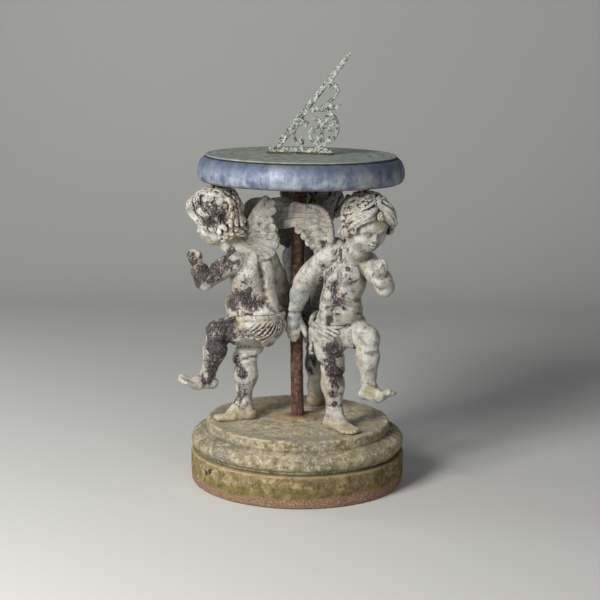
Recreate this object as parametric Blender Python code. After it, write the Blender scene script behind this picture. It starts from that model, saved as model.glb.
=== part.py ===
"""Garden sundial: a round stone base, three winged putti cast in lead, an iron centre rod, a
lead-covered round table, and a loose dial plate with a pierced scrollwork gnomon.

Metres, +Z up. The origin is on the vertical axis of the piece, at the flat underside of the
plinth stone.
"""

import math

import bmesh
import bpy
from mathutils import Matrix, Vector

for old in list(bpy.data.objects):
    bpy.data.objects.remove(old, do_unlink=True)

SCENE = bpy.context.scene.collection

# ---------------------------------------------------------------- driving dimensions
GAP = 0.0003  # clearance between touching pieces
CASTING_GAP = 0.0005  # clearance between neighbouring lead castings, and from them to the rod
OVERSHOOT = 0.01  # how far a cutter runs past the face it opens
TIDY = 2e-5  # edges shorter than this are dissolved after a cut

PLINTH_R = 0.2600
PLINTH_TOP = 0.0775
MOULD_TOP = 0.1500
STEP_R = 0.2228
TORUS_R = 0.2585

ROD_R = 0.0155
ROD_HOLE_R = ROD_R + GAP
ROD_BOTTOM = 0.0300

TABLE_BOTTOM = 0.7305
TABLE_TOP = 0.7893
LEAD_T = 0.0035
LEAD_UNDER = TABLE_TOP - LEAD_T

FLANGE_R = 0.0500
FLANGE_T = 0.0060
FLANGE_COLLAR_R = 0.0240
FLANGE_COLLAR_H = 0.0200
FLANGE_TOP = TABLE_BOTTOM - GAP
FLANGE_UNDER = FLANGE_TOP - FLANGE_T

FLANGE_SCREW_R = 0.0030
FLANGE_SCREW_PITCH_R = 0.0370
FLANGE_SCREW_SPOTS = [
    (
        FLANGE_SCREW_PITCH_R * math.cos(math.radians(angle)),
        FLANGE_SCREW_PITCH_R * math.sin(math.radians(angle)),
    )
    for angle in range(33, 360, 90)
]

PLATE_R = 0.2270
PLATE_T = 0.0040
PLATE_EDGE = 0.0008  # bevel round the rim
PLATE_BOTTOM = TABLE_TOP + GAP
PLATE_TOP = PLATE_BOTTOM + PLATE_T
PIVOT_R = 0.0050
PIVOT_HOLE_R = PIVOT_R + GAP
PIVOT_BOTTOM = 0.7550

GNOMON_YAW = -8.0
YAW = Matrix.Rotation(math.radians(GNOMON_YAW), 4, "Z")
FOOT_PLATE_X = (-0.086, 0.077)
FOOT_PLATE_W = 0.026
FOOT_PLATE_T = 0.0030
FOOT_BOTTOM = PLATE_TOP + GAP
FOOT_TOP = FOOT_BOTTOM + FOOT_PLATE_T
GNOMON_LOW = FOOT_TOP + GAP
GNOMON_SCREW_R = 0.0018
GNOMON_SCREW_X = 0.058
GNOMON_SCREW_Y = 0.0085
GNOMON_SCREW_SPOTS = [
    (x_side * GNOMON_SCREW_X, y_side * GNOMON_SCREW_Y) for x_side in (-1, 1) for y_side in (-1, 1)
]

DOWEL_R = 0.0060
DOWEL_HOLE_R = DOWEL_R + GAP
DOWEL_CHAMFER = 0.001
# dowels of the putto at angle 0: (x, y), bottom, top
FOOT_DOWEL_AT, FOOT_DOWEL_LOW, FOOT_DOWEL_HIGH = (0.1305, 0.0185), 0.092, 0.243
HEAD_DOWEL_AT, HEAD_DOWEL_LOW, HEAD_DOWEL_HIGH = (0.2030, 0.0480), 0.668, 0.768

REAR_ANGLE = 63.0
PUTTO_ANGLE = {"left": REAR_ANGLE + 120, "right": REAR_ANGLE - 120, "rear": REAR_ANGLE}

# segments round the turned pieces
STONE_SEGMENTS = 48
ROD_SEGMENTS = 24
PIVOT_SEGMENTS = 16
DOWEL_SEGMENTS = 12
SCREW_SEGMENTS = 10


# ---------------------------------------------------------------- materials
def principled(name, colour, roughness, metallic):
    mat = bpy.data.materials.new(name)
    mat.use_nodes = True
    node = mat.node_tree.nodes["Principled BSDF"]
    node.inputs["Base Color"].default_value = (*colour, 1.0)
    node.inputs["Roughness"].default_value = roughness
    node.inputs["Metallic"].default_value = metallic
    mat.diffuse_color = (*colour, 1.0)
    return mat


PLINTH_STONE = principled(
    "plinth_stone", colour=(0.22, 0.17, 0.10), roughness=0.95, metallic=0.0
)
BASE_STONE = principled("base_stone", colour=(0.45, 0.37, 0.23), roughness=0.93, metallic=0.0)
MORTAR = principled("mortar", colour=(0.52, 0.40, 0.31), roughness=0.95, metallic=0.0)
RUSTED_IRON = principled("rusted_iron", colour=(0.11, 0.045, 0.028), roughness=0.90, metallic=0.2)
CAST_LEAD = principled("cast_lead", colour=(0.52, 0.49, 0.44), roughness=0.80, metallic=0.1)
SHEET_LEAD = principled("sheet_lead", colour=(0.26, 0.31, 0.38), roughness=0.50, metallic=0.5)
CORE_STONE = principled("table_core", colour=(0.30, 0.25, 0.18), roughness=0.90, metallic=0.0)
DIAL_BRONZE = principled("dial_bronze", colour=(0.24, 0.27, 0.24), roughness=0.60, metallic=0.4)
VERDIGRIS = principled(
    "verdigris_bronze", colour=(0.35, 0.42, 0.36), roughness=0.75, metallic=0.3
)
BROWN_BRONZE = principled(
    "brown_bronze", colour=(0.09, 0.06, 0.045), roughness=0.65, metallic=0.4
)


# ---------------------------------------------------------------- objects and booleans
def mesh_of(edit, name):
    """The bmesh as a mesh, and the bmesh freed."""
    mesh = bpy.data.meshes.new(name)
    edit.to_mesh(mesh)
    edit.free()
    return mesh


def closed_mesh(edit, name):
    """mesh_of, with the normals outward and every face a triangle."""
    bmesh.ops.recalc_face_normals(edit, faces=edit.faces[:])
    bmesh.ops.triangulate(edit, faces=edit.faces[:])
    return mesh_of(edit, name)


def place(name, mesh, material, angle=0.0, parent=None):
    """One finished piece, turned about the vertical axis."""
    if not mesh.materials:
        mesh.materials.append(material)
    obj = bpy.data.objects.new(name, mesh)
    obj.rotation_euler = (0.0, 0.0, math.radians(angle))
    SCENE.objects.link(obj)
    mesh.shade_smooth()
    mesh.set_sharp_from_angle(angle=math.radians(50))
    obj.parent = parent


def helper(name, mesh):
    """A working solid or a cutter, which isn't a part."""
    obj = bpy.data.objects.new(name, mesh)
    SCENE.objects.link(obj)
    obj.hide_render = True
    obj.display_type = "WIRE"
    return obj


def evaluated_mesh(obj):
    bpy.context.view_layer.update()
    graph = bpy.context.evaluated_depsgraph_get()
    return bpy.data.meshes.new_from_object(obj.evaluated_get(graph))


def bake(obj):
    """The helper's evaluated mesh, and the helper gone."""
    mesh = evaluated_mesh(obj)
    bpy.data.objects.remove(obj, do_unlink=True)
    return mesh


def connected_shells(edit):
    """The vertices of each connected shell."""
    seen, shells = set(), []
    for start in edit.verts:
        if start in seen:
            continue
        stack, shell = [start], []
        seen.add(start)
        while stack:
            vert = stack.pop()
            shell.append(vert)
            for edge in vert.link_edges:
                other = edge.other_vert(vert)
                if other not in seen:
                    seen.add(other)
                    stack.append(other)
        shells.append(shell)
    return shells


def largest_body(mesh, tidy=TIDY):
    """Drops offcuts: only the shell with the greatest total edge length stays."""
    edit = bmesh.new()
    edit.from_mesh(mesh)
    bmesh.ops.triangulate(edit, faces=edit.faces[:])
    shells = connected_shells(edit)
    shells.sort(
        key=lambda shell: sum(edge.calc_length() for vert in shell for edge in vert.link_edges),
        reverse=True,
    )
    for shell in shells[1:]:
        bmesh.ops.delete(edit, geom=shell, context="VERTS")
    bmesh.ops.dissolve_degenerate(edit, dist=tidy, edges=edit.edges[:])
    open_edges = [edge for edge in edit.edges if edge.is_boundary]
    bmesh.ops.holes_fill(edit, edges=open_edges, sides=4)
    bmesh.ops.triangulate(edit, faces=edit.faces[:])
    return mesh_of(edit, mesh.name)


def boolean(mesh, others, operation="DIFFERENCE", tidy=TIDY):
    """The mesh cut by (or joined to) each other mesh in turn."""
    obj = helper("work", mesh)
    tools = []
    for index, other in enumerate(others):
        tool = helper(f"tool_{index}", other)
        tools.append(tool)
        mod = obj.modifiers.new(f"op_{index}", "BOOLEAN")
        mod.operation = operation
        mod.solver = "EXACT"
        mod.object = tool
        mod.use_self = operation == "UNION"
    result = bake(obj)
    for tool in tools:
        bpy.data.objects.remove(tool, do_unlink=True)
    return largest_body(result, tidy)


def grown(mesh, distance=CASTING_GAP):
    """A copy of the mesh, moved out along its normals: the space a neighbour keeps clear of."""
    edit = bmesh.new()
    edit.from_mesh(mesh)
    edit.normal_update()
    # the shell factor is capped so that sharp points don't shoot out
    moves = [
        vert.normal * distance * min(vert.calc_shell_factor(), 2.0) for vert in edit.verts
    ]
    for vert, move in zip(edit.verts, moves):
        vert.co += move
    return mesh_of(edit, mesh.name + "_space")


# ---------------------------------------------------------------- turned and flat solids
def turned(profile, segments, name, closed=False):
    """A solid of revolution about the vertical axis, from (radius, z) points.

    An open profile runs from the axis at the top, down its outer side, to the axis at the bottom.
    A closed one stays clear of the axis and gives a ring.
    """
    edit = bmesh.new()
    verts = [edit.verts.new((radius, 0.0, z)) for radius, z in profile]
    following = verts[1:] + (verts[:1] if closed else [])
    edges = [edit.edges.new(pair) for pair in zip(verts, following)]
    bmesh.ops.spin(
        edit,
        geom=verts + edges,
        cent=(0, 0, 0),
        axis=(0, 0, 1),
        angle=math.tau,
        steps=segments,
        use_merge=True,
    )
    bmesh.ops.remove_doubles(edit, verts=edit.verts[:], dist=1e-6)
    return closed_mesh(edit, name)


def rod_mesh(radius, low, high, segments, at=(0.0, 0.0), chamfer=0.0):
    """An upright round bar."""
    if chamfer:
        side = [
            (radius - chamfer, high),
            (radius, high - chamfer),
            (radius, low + chamfer),
            (radius - chamfer, low),
        ]
    else:
        side = [(radius, high), (radius, low)]
    mesh = turned([(0.0, high), *side, (0.0, low)], segments, "bar")
    mesh.transform(Matrix.Translation((*at, 0.0)))
    return mesh


def dowel_cuts(at, low, high):
    """A dowel hole for each of the three putti."""
    cuts = []
    for angle in PUTTO_ANGLE.values():
        cut = rod_mesh(DOWEL_HOLE_R, low, high, DOWEL_SEGMENTS, at)
        cut.transform(Matrix.Rotation(math.radians(angle), 4, "Z"))
        cuts.append(cut)
    return cuts


def box_mesh(low, high):
    edit = bmesh.new()
    bmesh.ops.create_cube(edit, size=1.0)
    size = Vector(high) - Vector(low)
    centre = (Vector(high) + Vector(low)) / 2
    for vert in edit.verts:
        vert.co = Vector((vert.co.x * size.x, vert.co.y * size.y, vert.co.z * size.z)) + centre
    return mesh_of(edit, "block")


# ---------------------------------------------------------------- rounded forms
def add_to(form, part):
    """Adds the part's surface to the form and frees the part."""
    mesh = mesh_of(part, "part")
    form.from_mesh(mesh)
    bpy.data.meshes.remove(mesh)


def ball_hull(form, balls, subdivisions=1):
    """The hull round several balls, each given as (centre, radius)."""
    part = bmesh.new()
    for centre, radius in balls:
        bmesh.ops.create_icosphere(
            part, subdivisions=subdivisions, radius=radius, matrix=Matrix.Translation(centre)
        )
    hull = bmesh.ops.convex_hull(part, input=part.verts[:])
    drop = set(hull["geom_interior"]) | set(hull["geom_unused"])
    inside = [item for item in drop if isinstance(item, bmesh.types.BMVert)]
    bmesh.ops.delete(part, geom=inside, context="VERTS")
    add_to(form, part)


def round_cone(form, start, start_radius, end, end_radius):
    """The hull round two balls."""
    ball_hull(form, ((start, start_radius), (end, end_radius)), subdivisions=2)


def round_cones(form, cones):
    """Each cone is (start, radius, end, radius)."""
    for cone in cones:
        round_cone(form, *cone)


def ellipsoid(form, centre, radii, turn=0.0, tilt=0.0):
    """Radii along the turned x, the turned y, and z. turn and tilt are in degrees."""
    matrix = (
        Matrix.Translation(centre)
        @ Matrix.Rotation(math.radians(turn), 4, "Z")
        @ Matrix.Rotation(math.radians(tilt), 4, "Y")
        @ Matrix.Diagonal((*radii, 1.0))
    )
    part = bmesh.new()
    bmesh.ops.create_icosphere(part, subdivisions=3, radius=1.0, matrix=matrix)
    add_to(form, part)


def fused(form, name, voxel, triangles, rounds=3):
    """One smooth closed skin round the whole form, with about the given number of triangles."""
    obj = helper(name, mesh_of(form, name))
    remesh = obj.modifiers.new("skin", "REMESH")
    remesh.mode = "VOXEL"
    remesh.voxel_size = voxel
    smooth = obj.modifiers.new("blend", "SMOOTH")
    smooth.factor = 0.5
    smooth.iterations = rounds
    # the triangle count before reduction sets the ratio
    found = evaluated_mesh(obj)
    found.calc_loop_triangles()
    reduce = obj.modifiers.new("facets", "DECIMATE")
    reduce.decimate_type = "COLLAPSE"
    reduce.ratio = min(1.0, triangles / len(found.loop_triangles))
    reduce.use_collapse_triangulate = True
    bpy.data.meshes.remove(found)
    return largest_body(bake(obj))


def shifted(point, x, y, z):
    return point + Vector((x, y, z))


# ---------------------------------------------------------------- base
# (radius, z), from the axis at the top to the axis at the bottom
PLINTH_PROFILE = [
    (0.0, PLINTH_TOP),
    (PLINTH_R - 0.006, PLINTH_TOP),
    (PLINTH_R - 0.0015, PLINTH_TOP - 0.0025),
    (PLINTH_R, PLINTH_TOP - 0.008),
    (PLINTH_R, 0.030),
    (PLINTH_R - 0.001, 0.004),
    (PLINTH_R - 0.005, 0.0),
    (0.0, 0.0),
]
MOULD_PROFILE = [
    (0.0, MOULD_TOP),
    (STEP_R - 0.004, MOULD_TOP),
    (STEP_R, MOULD_TOP - 0.0035),
    (STEP_R + 0.0010, 0.1260),
    (0.2400, 0.1225),
    (0.2530, 0.1155),
    (TORUS_R, 0.1045),
    (0.2560, 0.0930),
    (0.2475, 0.0848),
    (0.2465, PLINTH_TOP + GAP),
    (0.0, PLINTH_TOP + GAP),
]
MOULD_CUT_LOW = 0.05  # the rod's cutter starts below the moulding

MORTAR_R = 0.0560
MORTAR_H = 0.0035
MORTAR_STEPS = 40


def build_plinth():
    plinth = turned(PLINTH_PROFILE, STONE_SEGMENTS, "base_plinth")
    socket = rod_mesh(ROD_HOLE_R, ROD_BOTTOM - GAP, PLINTH_TOP + 2 * OVERSHOOT, ROD_SEGMENTS)
    place("base_plinth", boolean(plinth, [socket]), PLINTH_STONE)


def build_moulding():
    mould = turned(MOULD_PROFILE, STONE_SEGMENTS, "base_moulding")
    cut_top = MOULD_TOP + 2 * OVERSHOOT
    cuts = [rod_mesh(ROD_HOLE_R, MOULD_CUT_LOW, cut_top, ROD_SEGMENTS)]
    cuts += dowel_cuts(FOOT_DOWEL_AT, FOOT_DOWEL_LOW - GAP, cut_top)
    place("base_moulding", boolean(mould, cuts), BASE_STONE)


def build_mortar():
    """A low ring of mortar round the rod, with an uneven outer edge."""
    edit = bmesh.new()
    low = MOULD_TOP + GAP
    rows = []
    for index in range(MORTAR_STEPS):
        angle = math.tau * index / MORTAR_STEPS
        cos, sin = math.cos(angle), math.sin(angle)
        reach = MORTAR_R * (
            1.0
            + 0.16 * math.sin(2 * angle + 0.6)
            + 0.09 * math.sin(5 * angle)
            + 0.05 * math.sin(9 * angle)
        )
        section = (
            (ROD_HOLE_R, low),
            (ROD_HOLE_R, low + MORTAR_H * 1.5),
            (ROD_R + 0.008, low + MORTAR_H * 1.2),
            (reach * 0.82, low + MORTAR_H * 0.8),
            (reach, low + 0.0006),
            (reach, low),
        )
        rows.append([edit.verts.new((radius * cos, radius * sin, z)) for radius, z in section])
    for index, row in enumerate(rows):
        after = rows[(index + 1) % MORTAR_STEPS]
        for k in range(len(row)):
            m = (k + 1) % len(row)
            edit.faces.new((row[k], row[m], after[m], after[k]))
    place("rod_bedding_mortar", closed_mesh(edit, "rod_bedding_mortar"), MORTAR)


# ---------------------------------------------------------------- rod and its top flange
FLANGE_PROFILE = [  # (radius, z), closed
    (ROD_HOLE_R, FLANGE_TOP),
    (FLANGE_R, FLANGE_TOP),
    (FLANGE_R, FLANGE_UNDER),
    (FLANGE_COLLAR_R + 0.002, FLANGE_UNDER),
    (FLANGE_COLLAR_R, FLANGE_UNDER - 0.003),
    (FLANGE_COLLAR_R, FLANGE_TOP - FLANGE_COLLAR_H),
    (ROD_HOLE_R, FLANGE_TOP - FLANGE_COLLAR_H),
]
FLANGE_CUT_Z = (0.70, 0.76)  # screw cutters run right through the flange
ROD_TOP = FLANGE_TOP - 0.0004
ROD_CHAMFER = 0.001

FLANGE_SEAT = FLANGE_UNDER - GAP  # where the screw heads bear
FLANGE_SCREW_PROFILE = [
    (0.0, TABLE_BOTTOM + 0.022),
    (0.0012, TABLE_BOTTOM + 0.020),
    (FLANGE_SCREW_R, TABLE_BOTTOM + 0.012),
    (FLANGE_SCREW_R, FLANGE_SEAT),
    (0.0058, FLANGE_SEAT),
    (0.0054, FLANGE_SEAT - 0.0025),
    (0.0030, FLANGE_SEAT - 0.0036),
    (0.0, FLANGE_SEAT - 0.0038),
]


def build_rod():
    rod = rod_mesh(ROD_R, ROD_BOTTOM, ROD_TOP, ROD_SEGMENTS, chamfer=ROD_CHAMFER)
    place("centre_rod", rod, RUSTED_IRON)


def build_flange():
    flange = turned(FLANGE_PROFILE, ROD_SEGMENTS, "rod_top_flange", closed=True)
    cuts = [rod_mesh(FLANGE_SCREW_R + GAP, *FLANGE_CUT_Z, 12, at) for at in FLANGE_SCREW_SPOTS]
    place("rod_top_flange", boolean(flange, cuts), RUSTED_IRON)


def build_flange_screws():
    for index, at in enumerate(FLANGE_SCREW_SPOTS, 1):
        screw = turned(FLANGE_SCREW_PROFILE, SCREW_SEGMENTS, "flange_screw")
        screw.transform(Matrix.Translation((*at, 0.0)))
        place(f"flange_screw_{index}", screw, RUSTED_IRON)


# ---------------------------------------------------------------- lead-covered table
# (radius, z), from top to bottom
SHELL_SIDE = [
    (0.2300, TABLE_TOP - 0.0014),
    (0.2370, 0.7822),
    (0.2425, 0.7725),
    (0.2456, 0.7612),
    (0.2465, 0.7500),
    (0.2452, 0.7400),
    (0.2412, 0.7333),
    (0.2360, TABLE_BOTTOM),
]
SHELL_TOP_R = 0.2265  # flat top, inside the rounded edge
CORE_TOP = LEAD_UNDER - GAP
CORE_SIDE = [
    (0.2270, CORE_TOP),
    (0.2385, 0.7712),
    (0.2425, 0.7540),
    (0.2410, 0.7405),
    (0.2330, TABLE_BOTTOM),
]
CORE_SCREW_HOLE_TOP = TABLE_BOTTOM + 0.024


def build_table_core():
    profile = [(0.0, CORE_TOP)] + CORE_SIDE + [(0.0, TABLE_BOTTOM)]
    core = turned(profile, STONE_SEGMENTS, "dial_table_core")
    cuts = [
        rod_mesh(
            FLANGE_SCREW_R + GAP, TABLE_BOTTOM - OVERSHOOT, CORE_SCREW_HOLE_TOP, SCREW_SEGMENTS, at
        )
        for at in FLANGE_SCREW_SPOTS
    ]
    cuts.append(rod_mesh(PIVOT_HOLE_R, PIVOT_BOTTOM - GAP, TABLE_TOP + OVERSHOOT, PIVOT_SEGMENTS))
    cuts += dowel_cuts(HEAD_DOWEL_AT, TABLE_BOTTOM - 2 * OVERSHOOT, HEAD_DOWEL_HIGH + GAP)
    place("dial_table_core", boolean(core, cuts), CORE_STONE)


def build_table_shell():
    inner = [(radius + GAP, z) for radius, z in CORE_SIDE]
    inner[0] = (inner[0][0], LEAD_UNDER)
    top = [(PIVOT_HOLE_R, LEAD_UNDER), (PIVOT_HOLE_R, TABLE_TOP), (SHELL_TOP_R, TABLE_TOP)]
    profile = top + SHELL_SIDE + inner[::-1]
    shell = turned(profile, STONE_SEGMENTS, "dial_table_shell", closed=True)
    place("dial_table_shell", shell, SHEET_LEAD)


# ---------------------------------------------------------------- pivot pin, dial plate
PLATE_PROFILE = [  # (radius, z), closed
    (PIVOT_HOLE_R, PLATE_TOP),
    (PLATE_R - PLATE_EDGE, PLATE_TOP),
    (PLATE_R, PLATE_TOP - PLATE_EDGE),
    (PLATE_R, PLATE_BOTTOM + PLATE_EDGE),
    (PLATE_R - PLATE_EDGE, PLATE_BOTTOM),
    (PIVOT_HOLE_R, PLATE_BOTTOM),
]
PIVOT_TOP = PLATE_TOP - 0.0002
PIVOT_CHAMFER = 0.0005


def build_pivot_pin():
    pin = rod_mesh(PIVOT_R, PIVOT_BOTTOM, PIVOT_TOP, PIVOT_SEGMENTS, chamfer=PIVOT_CHAMFER)
    place("pivot_pin", pin, BROWN_BRONZE)


def build_turn_axis():
    """The empty that carries the dial plate and everything on it."""
    axis = bpy.data.objects.new("dial_turn_axis", None)
    SCENE.objects.link(axis)
    return axis


def gnomon_screw_cuts(low, high):
    return [
        rod_mesh(GNOMON_SCREW_R + GAP, low, high, SCREW_SEGMENTS, at) for at in GNOMON_SCREW_SPOTS
    ]


def build_dial_plate(axis):
    plate = turned(PLATE_PROFILE, STONE_SEGMENTS, "dial_plate", closed=True)
    cuts = gnomon_screw_cuts(PLATE_BOTTOM - OVERSHOOT, PLATE_TOP + OVERSHOOT)
    for cut in cuts:
        cut.transform(YAW)
    place("dial_plate", boolean(plate, cuts), DIAL_BRONZE, parent=axis)


# ---------------------------------------------------------------- gnomon foot plate and screws
TENON_X = ((-0.040, -0.026), (0.030, 0.044))
TENON_HALF_T = 0.0022

SCREW_SEAT = FOOT_TOP + GAP
GNOMON_SCREW_PROFILE = [
    (0.0, SCREW_SEAT + 0.0016),
    (0.0016, SCREW_SEAT + 0.0015),
    (0.0032, SCREW_SEAT + 0.0006),
    (0.0034, SCREW_SEAT),
    (GNOMON_SCREW_R, SCREW_SEAT),
    (GNOMON_SCREW_R, PLATE_BOTTOM + 0.0006),
    (0.0012, PLATE_BOTTOM + 0.0003),
    (0.0, PLATE_BOTTOM + 0.0003),
]


def build_foot_plate(axis):
    """A flat strip with round ends, slotted for the two tenons."""
    half = FOOT_PLATE_W / 2
    edit = bmesh.new()
    outline = []
    for centre_x, start in ((FOOT_PLATE_X[1] - half, -90), (FOOT_PLATE_X[0] + half, 90)):
        for step in range(7):
            angle = math.radians(start + 30 * step)
            x, y = centre_x + half * math.cos(angle), half * math.sin(angle)
            outline.append(edit.verts.new((x, y, FOOT_BOTTOM)))
    top = bmesh.ops.extrude_face_region(edit, geom=[edit.faces.new(outline)])
    for element in top["geom"]:
        if isinstance(element, bmesh.types.BMVert):
            element.co.z = FOOT_TOP
    cuts = gnomon_screw_cuts(PLATE_BOTTOM, FOOT_TOP + OVERSHOOT)
    cuts += [
        box_mesh(
            (low - GAP, -TENON_HALF_T - GAP, PLATE_TOP - OVERSHOOT),
            (high + GAP, TENON_HALF_T + GAP, FOOT_TOP + OVERSHOOT),
        )
        for low, high in TENON_X
    ]
    foot_plate = boolean(closed_mesh(edit, "gnomon_foot_plate"), cuts)
    foot_plate.transform(YAW)
    place("gnomon_foot_plate", foot_plate, BROWN_BRONZE, parent=axis)


def build_gnomon_screws(axis):
    for index, at in enumerate(GNOMON_SCREW_SPOTS, 1):
        screw = turned(GNOMON_SCREW_PROFILE, SCREW_SEGMENTS, "gnomon_screw")
        screw.transform(Matrix.Translation((*at, 0.0)))
        screw.transform(YAW)
        place(f"gnomon_screw_{index}", screw, BROWN_BRONZE, parent=axis)


# ---------------------------------------------------------------- gnomon scrollwork
# Drawn in the XZ plane, then turned by the gnomon's yaw.
STYLE_ANGLE = math.radians(52.5)  # the latitude
STYLE_TIP_X = 0.113
STYLE_FOOT_X = -0.065
STYLE_FOOT_Z = GNOMON_LOW + 0.004
STYLE_LENGTH = (STYLE_TIP_X - STYLE_FOOT_X) / math.cos(STYLE_ANGLE)
STYLE_T = 0.0060
STYLE_WIDTHS = (  # (distance up the style, width)
    (0.0, 0.013), (0.04, 0.013), (0.12, 0.0125), (0.20, 0.012), (0.27, 0.011),
    (STYLE_LENGTH - 0.008, 0.009), (STYLE_LENGTH, 0.003),
)

RAIL_X = (-0.076, 0.052)
RAIL_H = 0.0110
RAIL_T = 0.0058
HEEL_BLOCK = (
    (0.0443, -0.0045, GNOMON_LOW + 0.0002),
    (0.0755, 0.0045, GNOMON_LOW + 0.0130),
)


def on_style(distance):
    """The (x, z) point on the style's centre line, this far up from its foot."""
    return (
        STYLE_FOOT_X + distance * math.cos(STYLE_ANGLE),
        STYLE_FOOT_Z + distance * math.sin(STYLE_ANGLE),
    )


def arc(centre, radius, start, end, count):
    """(x, z) points on a circle, from one angle to another in degrees."""
    points = []
    for k in range(count):
        angle = math.radians(start + (end - start) * k / (count - 1))
        points.append(
            (centre[0] + radius * math.cos(angle), centre[1] + radius * math.sin(angle))
        )
    return points


# each bar: thickness, then stations (x, z, width)
SCROLLWORK = {
    "upper_scroll": (0.0044, [
        (*on_style(0.198), 0.009), (0.0700, 0.9592, 0.008), (0.0802, 0.9549, 0.007),
        (0.0849, 0.9443, 0.0065), (0.0779, 0.9317, 0.0065), (0.0655, 0.9190, 0.007),
        (0.0503, 0.9080, 0.0065), (0.0304, 0.8995, 0.006), (0.0110, 0.8930, 0.006),
    ]),
    "upper_leaf": (0.0040, [
        (0.0480, 0.9050, 0.005), (0.0640, 0.9070, 0.010), (0.0780, 0.9065, 0.011),
        (0.0900, 0.9070, 0.003),
    ]),
    "big_ring": (0.0050, [
        (0.0140, 0.8935, 0.0045), (0.0232, 0.8962, 0.0045),
        *((*point, 0.0052) for point in arc((0.0460, 0.8580), 0.0405, 94, -66, count=14)),
        (0.0540, 0.8150, 0.0060), (0.0480, 0.8080, 0.0060),
    ]),
    "arm_leaf": (0.0042, [
        (0.0280, 0.8768, 0.003), (0.0400, 0.8735, 0.0085), (0.0492, 0.8632, 0.0065),
        (0.0560, 0.8590, 0.004),
    ]),
    "rising_arm": (0.0046, [
        (0.0480, 0.8620, 0.005), (0.0560, 0.8715, 0.0055), (0.0640, 0.8760, 0.005),
        (0.0800, 0.8825, 0.005),
    ]),
    "falling_arm": (0.0038, [
        (0.0460, 0.8640, 0.005), (0.0560, 0.8560, 0.006), (0.0680, 0.8520, 0.006),
        (0.0860, 0.8500, 0.005),
    ]),
    "upright_arm": (0.0048, [
        (0.0490, 0.8650, 0.006), (0.0476, 0.8470, 0.0075), (0.0492, 0.8327, 0.007),
        (0.0505, 0.8080, 0.008),
    ]),
    "small_scroll": (0.0043, [
        (0.0490, 0.8575, 0.004), (0.0402, 0.8585, 0.005), (0.0300, 0.8560, 0.006),
        (0.0215, 0.8485, 0.0065), (0.0195, 0.8391, 0.006), (0.0245, 0.8280, 0.006),
        (0.0345, 0.8175, 0.006), (0.0430, 0.8085, 0.006),
    ]),
    "small_eye": (0.0036, [
        (0.0205, 0.8440, 0.004), (0.0260, 0.8465, 0.0085), (0.0315, 0.8455, 0.003),
    ]),
    "s_scroll": (0.0041, [
        (*on_style(0.102), 0.010), (-0.0073, 0.8673, 0.009), (-0.0163, 0.8527, 0.0065),
        (-0.0188, 0.8382, 0.0055), (-0.0141, 0.8257, 0.006), (-0.0060, 0.8160, 0.007),
        (-0.0020, 0.8080, 0.008),
    ]),
    "scroll_ball": (0.0054, [
        (-0.0070, 0.8215, 0.006), (-0.0030, 0.8225, 0.0110), (0.0035, 0.8220, 0.005),
    ]),
}


def flat_bar(thickness, stations):
    """A flat bar that follows stations (x, z, width) in the gnomon's plane."""
    edit = bmesh.new()
    deep = Vector((0.0, thickness / 2, 0.0))
    rows = []
    for k, (x, z, width) in enumerate(stations):
        before, after = stations[max(k - 1, 0)], stations[min(k + 1, len(stations) - 1)]
        along = Vector((after[0] - before[0], 0.0, after[1] - before[1])).normalized()
        across = Vector((-along.z, 0.0, along.x)) * (width / 2)
        here = Vector((x, 0.0, z))
        corners = ((1, 1), (1, -1), (-1, -1), (-1, 1))
        rows.append([edit.verts.new(here + across * i + deep * j) for i, j in corners])
    for row, after in zip(rows, rows[1:]):
        for k in range(4):
            edit.faces.new((row[k], row[(k + 1) % 4], after[(k + 1) % 4], after[k]))
    edit.faces.new(rows[0])
    edit.faces.new(rows[-1][::-1])
    return closed_mesh(edit, "bar")


def build_gnomon(axis):
    style = flat_bar(
        STYLE_T, [(*on_style(distance), width) for distance, width in STYLE_WIDTHS]
    )
    rail = flat_bar(RAIL_T, [(x, GNOMON_LOW + RAIL_H / 2, RAIL_H) for x in RAIL_X])
    tenons = [
        box_mesh(
            (low, -TENON_HALF_T, PLATE_TOP + 0.0008), (high, TENON_HALF_T, GNOMON_LOW + 0.006)
        )
        for low, high in TENON_X
    ]
    scrolls = [flat_bar(*scroll) for scroll in SCROLLWORK.values()]
    parts = [rail, box_mesh(*HEEL_BLOCK), *tenons, *scrolls]
    gnomon = boolean(style, parts, "UNION", tidy=2e-6)
    gnomon.transform(YAW)
    place("gnomon", gnomon, VERDIGRIS, parent=axis)


# ---------------------------------------------------------------- one putto, at angle 0
# It faces +X, away from the rod, and +Y is to its left. These are its joint centres.
PELVIS = Vector((0.116, 0.033, 0.387))
RUMP = Vector((0.092, 0.050, 0.412))
BELLY = Vector((0.126, 0.036, 0.437))
CHEST = Vector((0.120, 0.052, 0.508))
NECK = Vector((0.166, 0.048, 0.592))
HEAD = Vector((0.199, 0.053, 0.655))
CROWN = shifted(HEAD, -0.004, 0.0, 0.010)

RIGHT_HIP = Vector((0.103, 0.014, 0.378))
RIGHT_KNEE = Vector((0.131, 0.013, 0.297))
RIGHT_CALF = Vector((0.1305, 0.0150, 0.2560))
RIGHT_ANKLE = Vector((0.132, 0.018, 0.200))
RIGHT_SHOULDER = Vector((0.098, 0.041, 0.559))
RIGHT_ELBOW = Vector((0.053, -0.025, 0.494))
RIGHT_WRIST = Vector((0.031, -0.033, 0.419))
RIGHT_HAND = Vector((0.026, -0.030, 0.386))
RIGHT_FINGERS = Vector((0.0185, -0.0260, 0.356))

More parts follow.
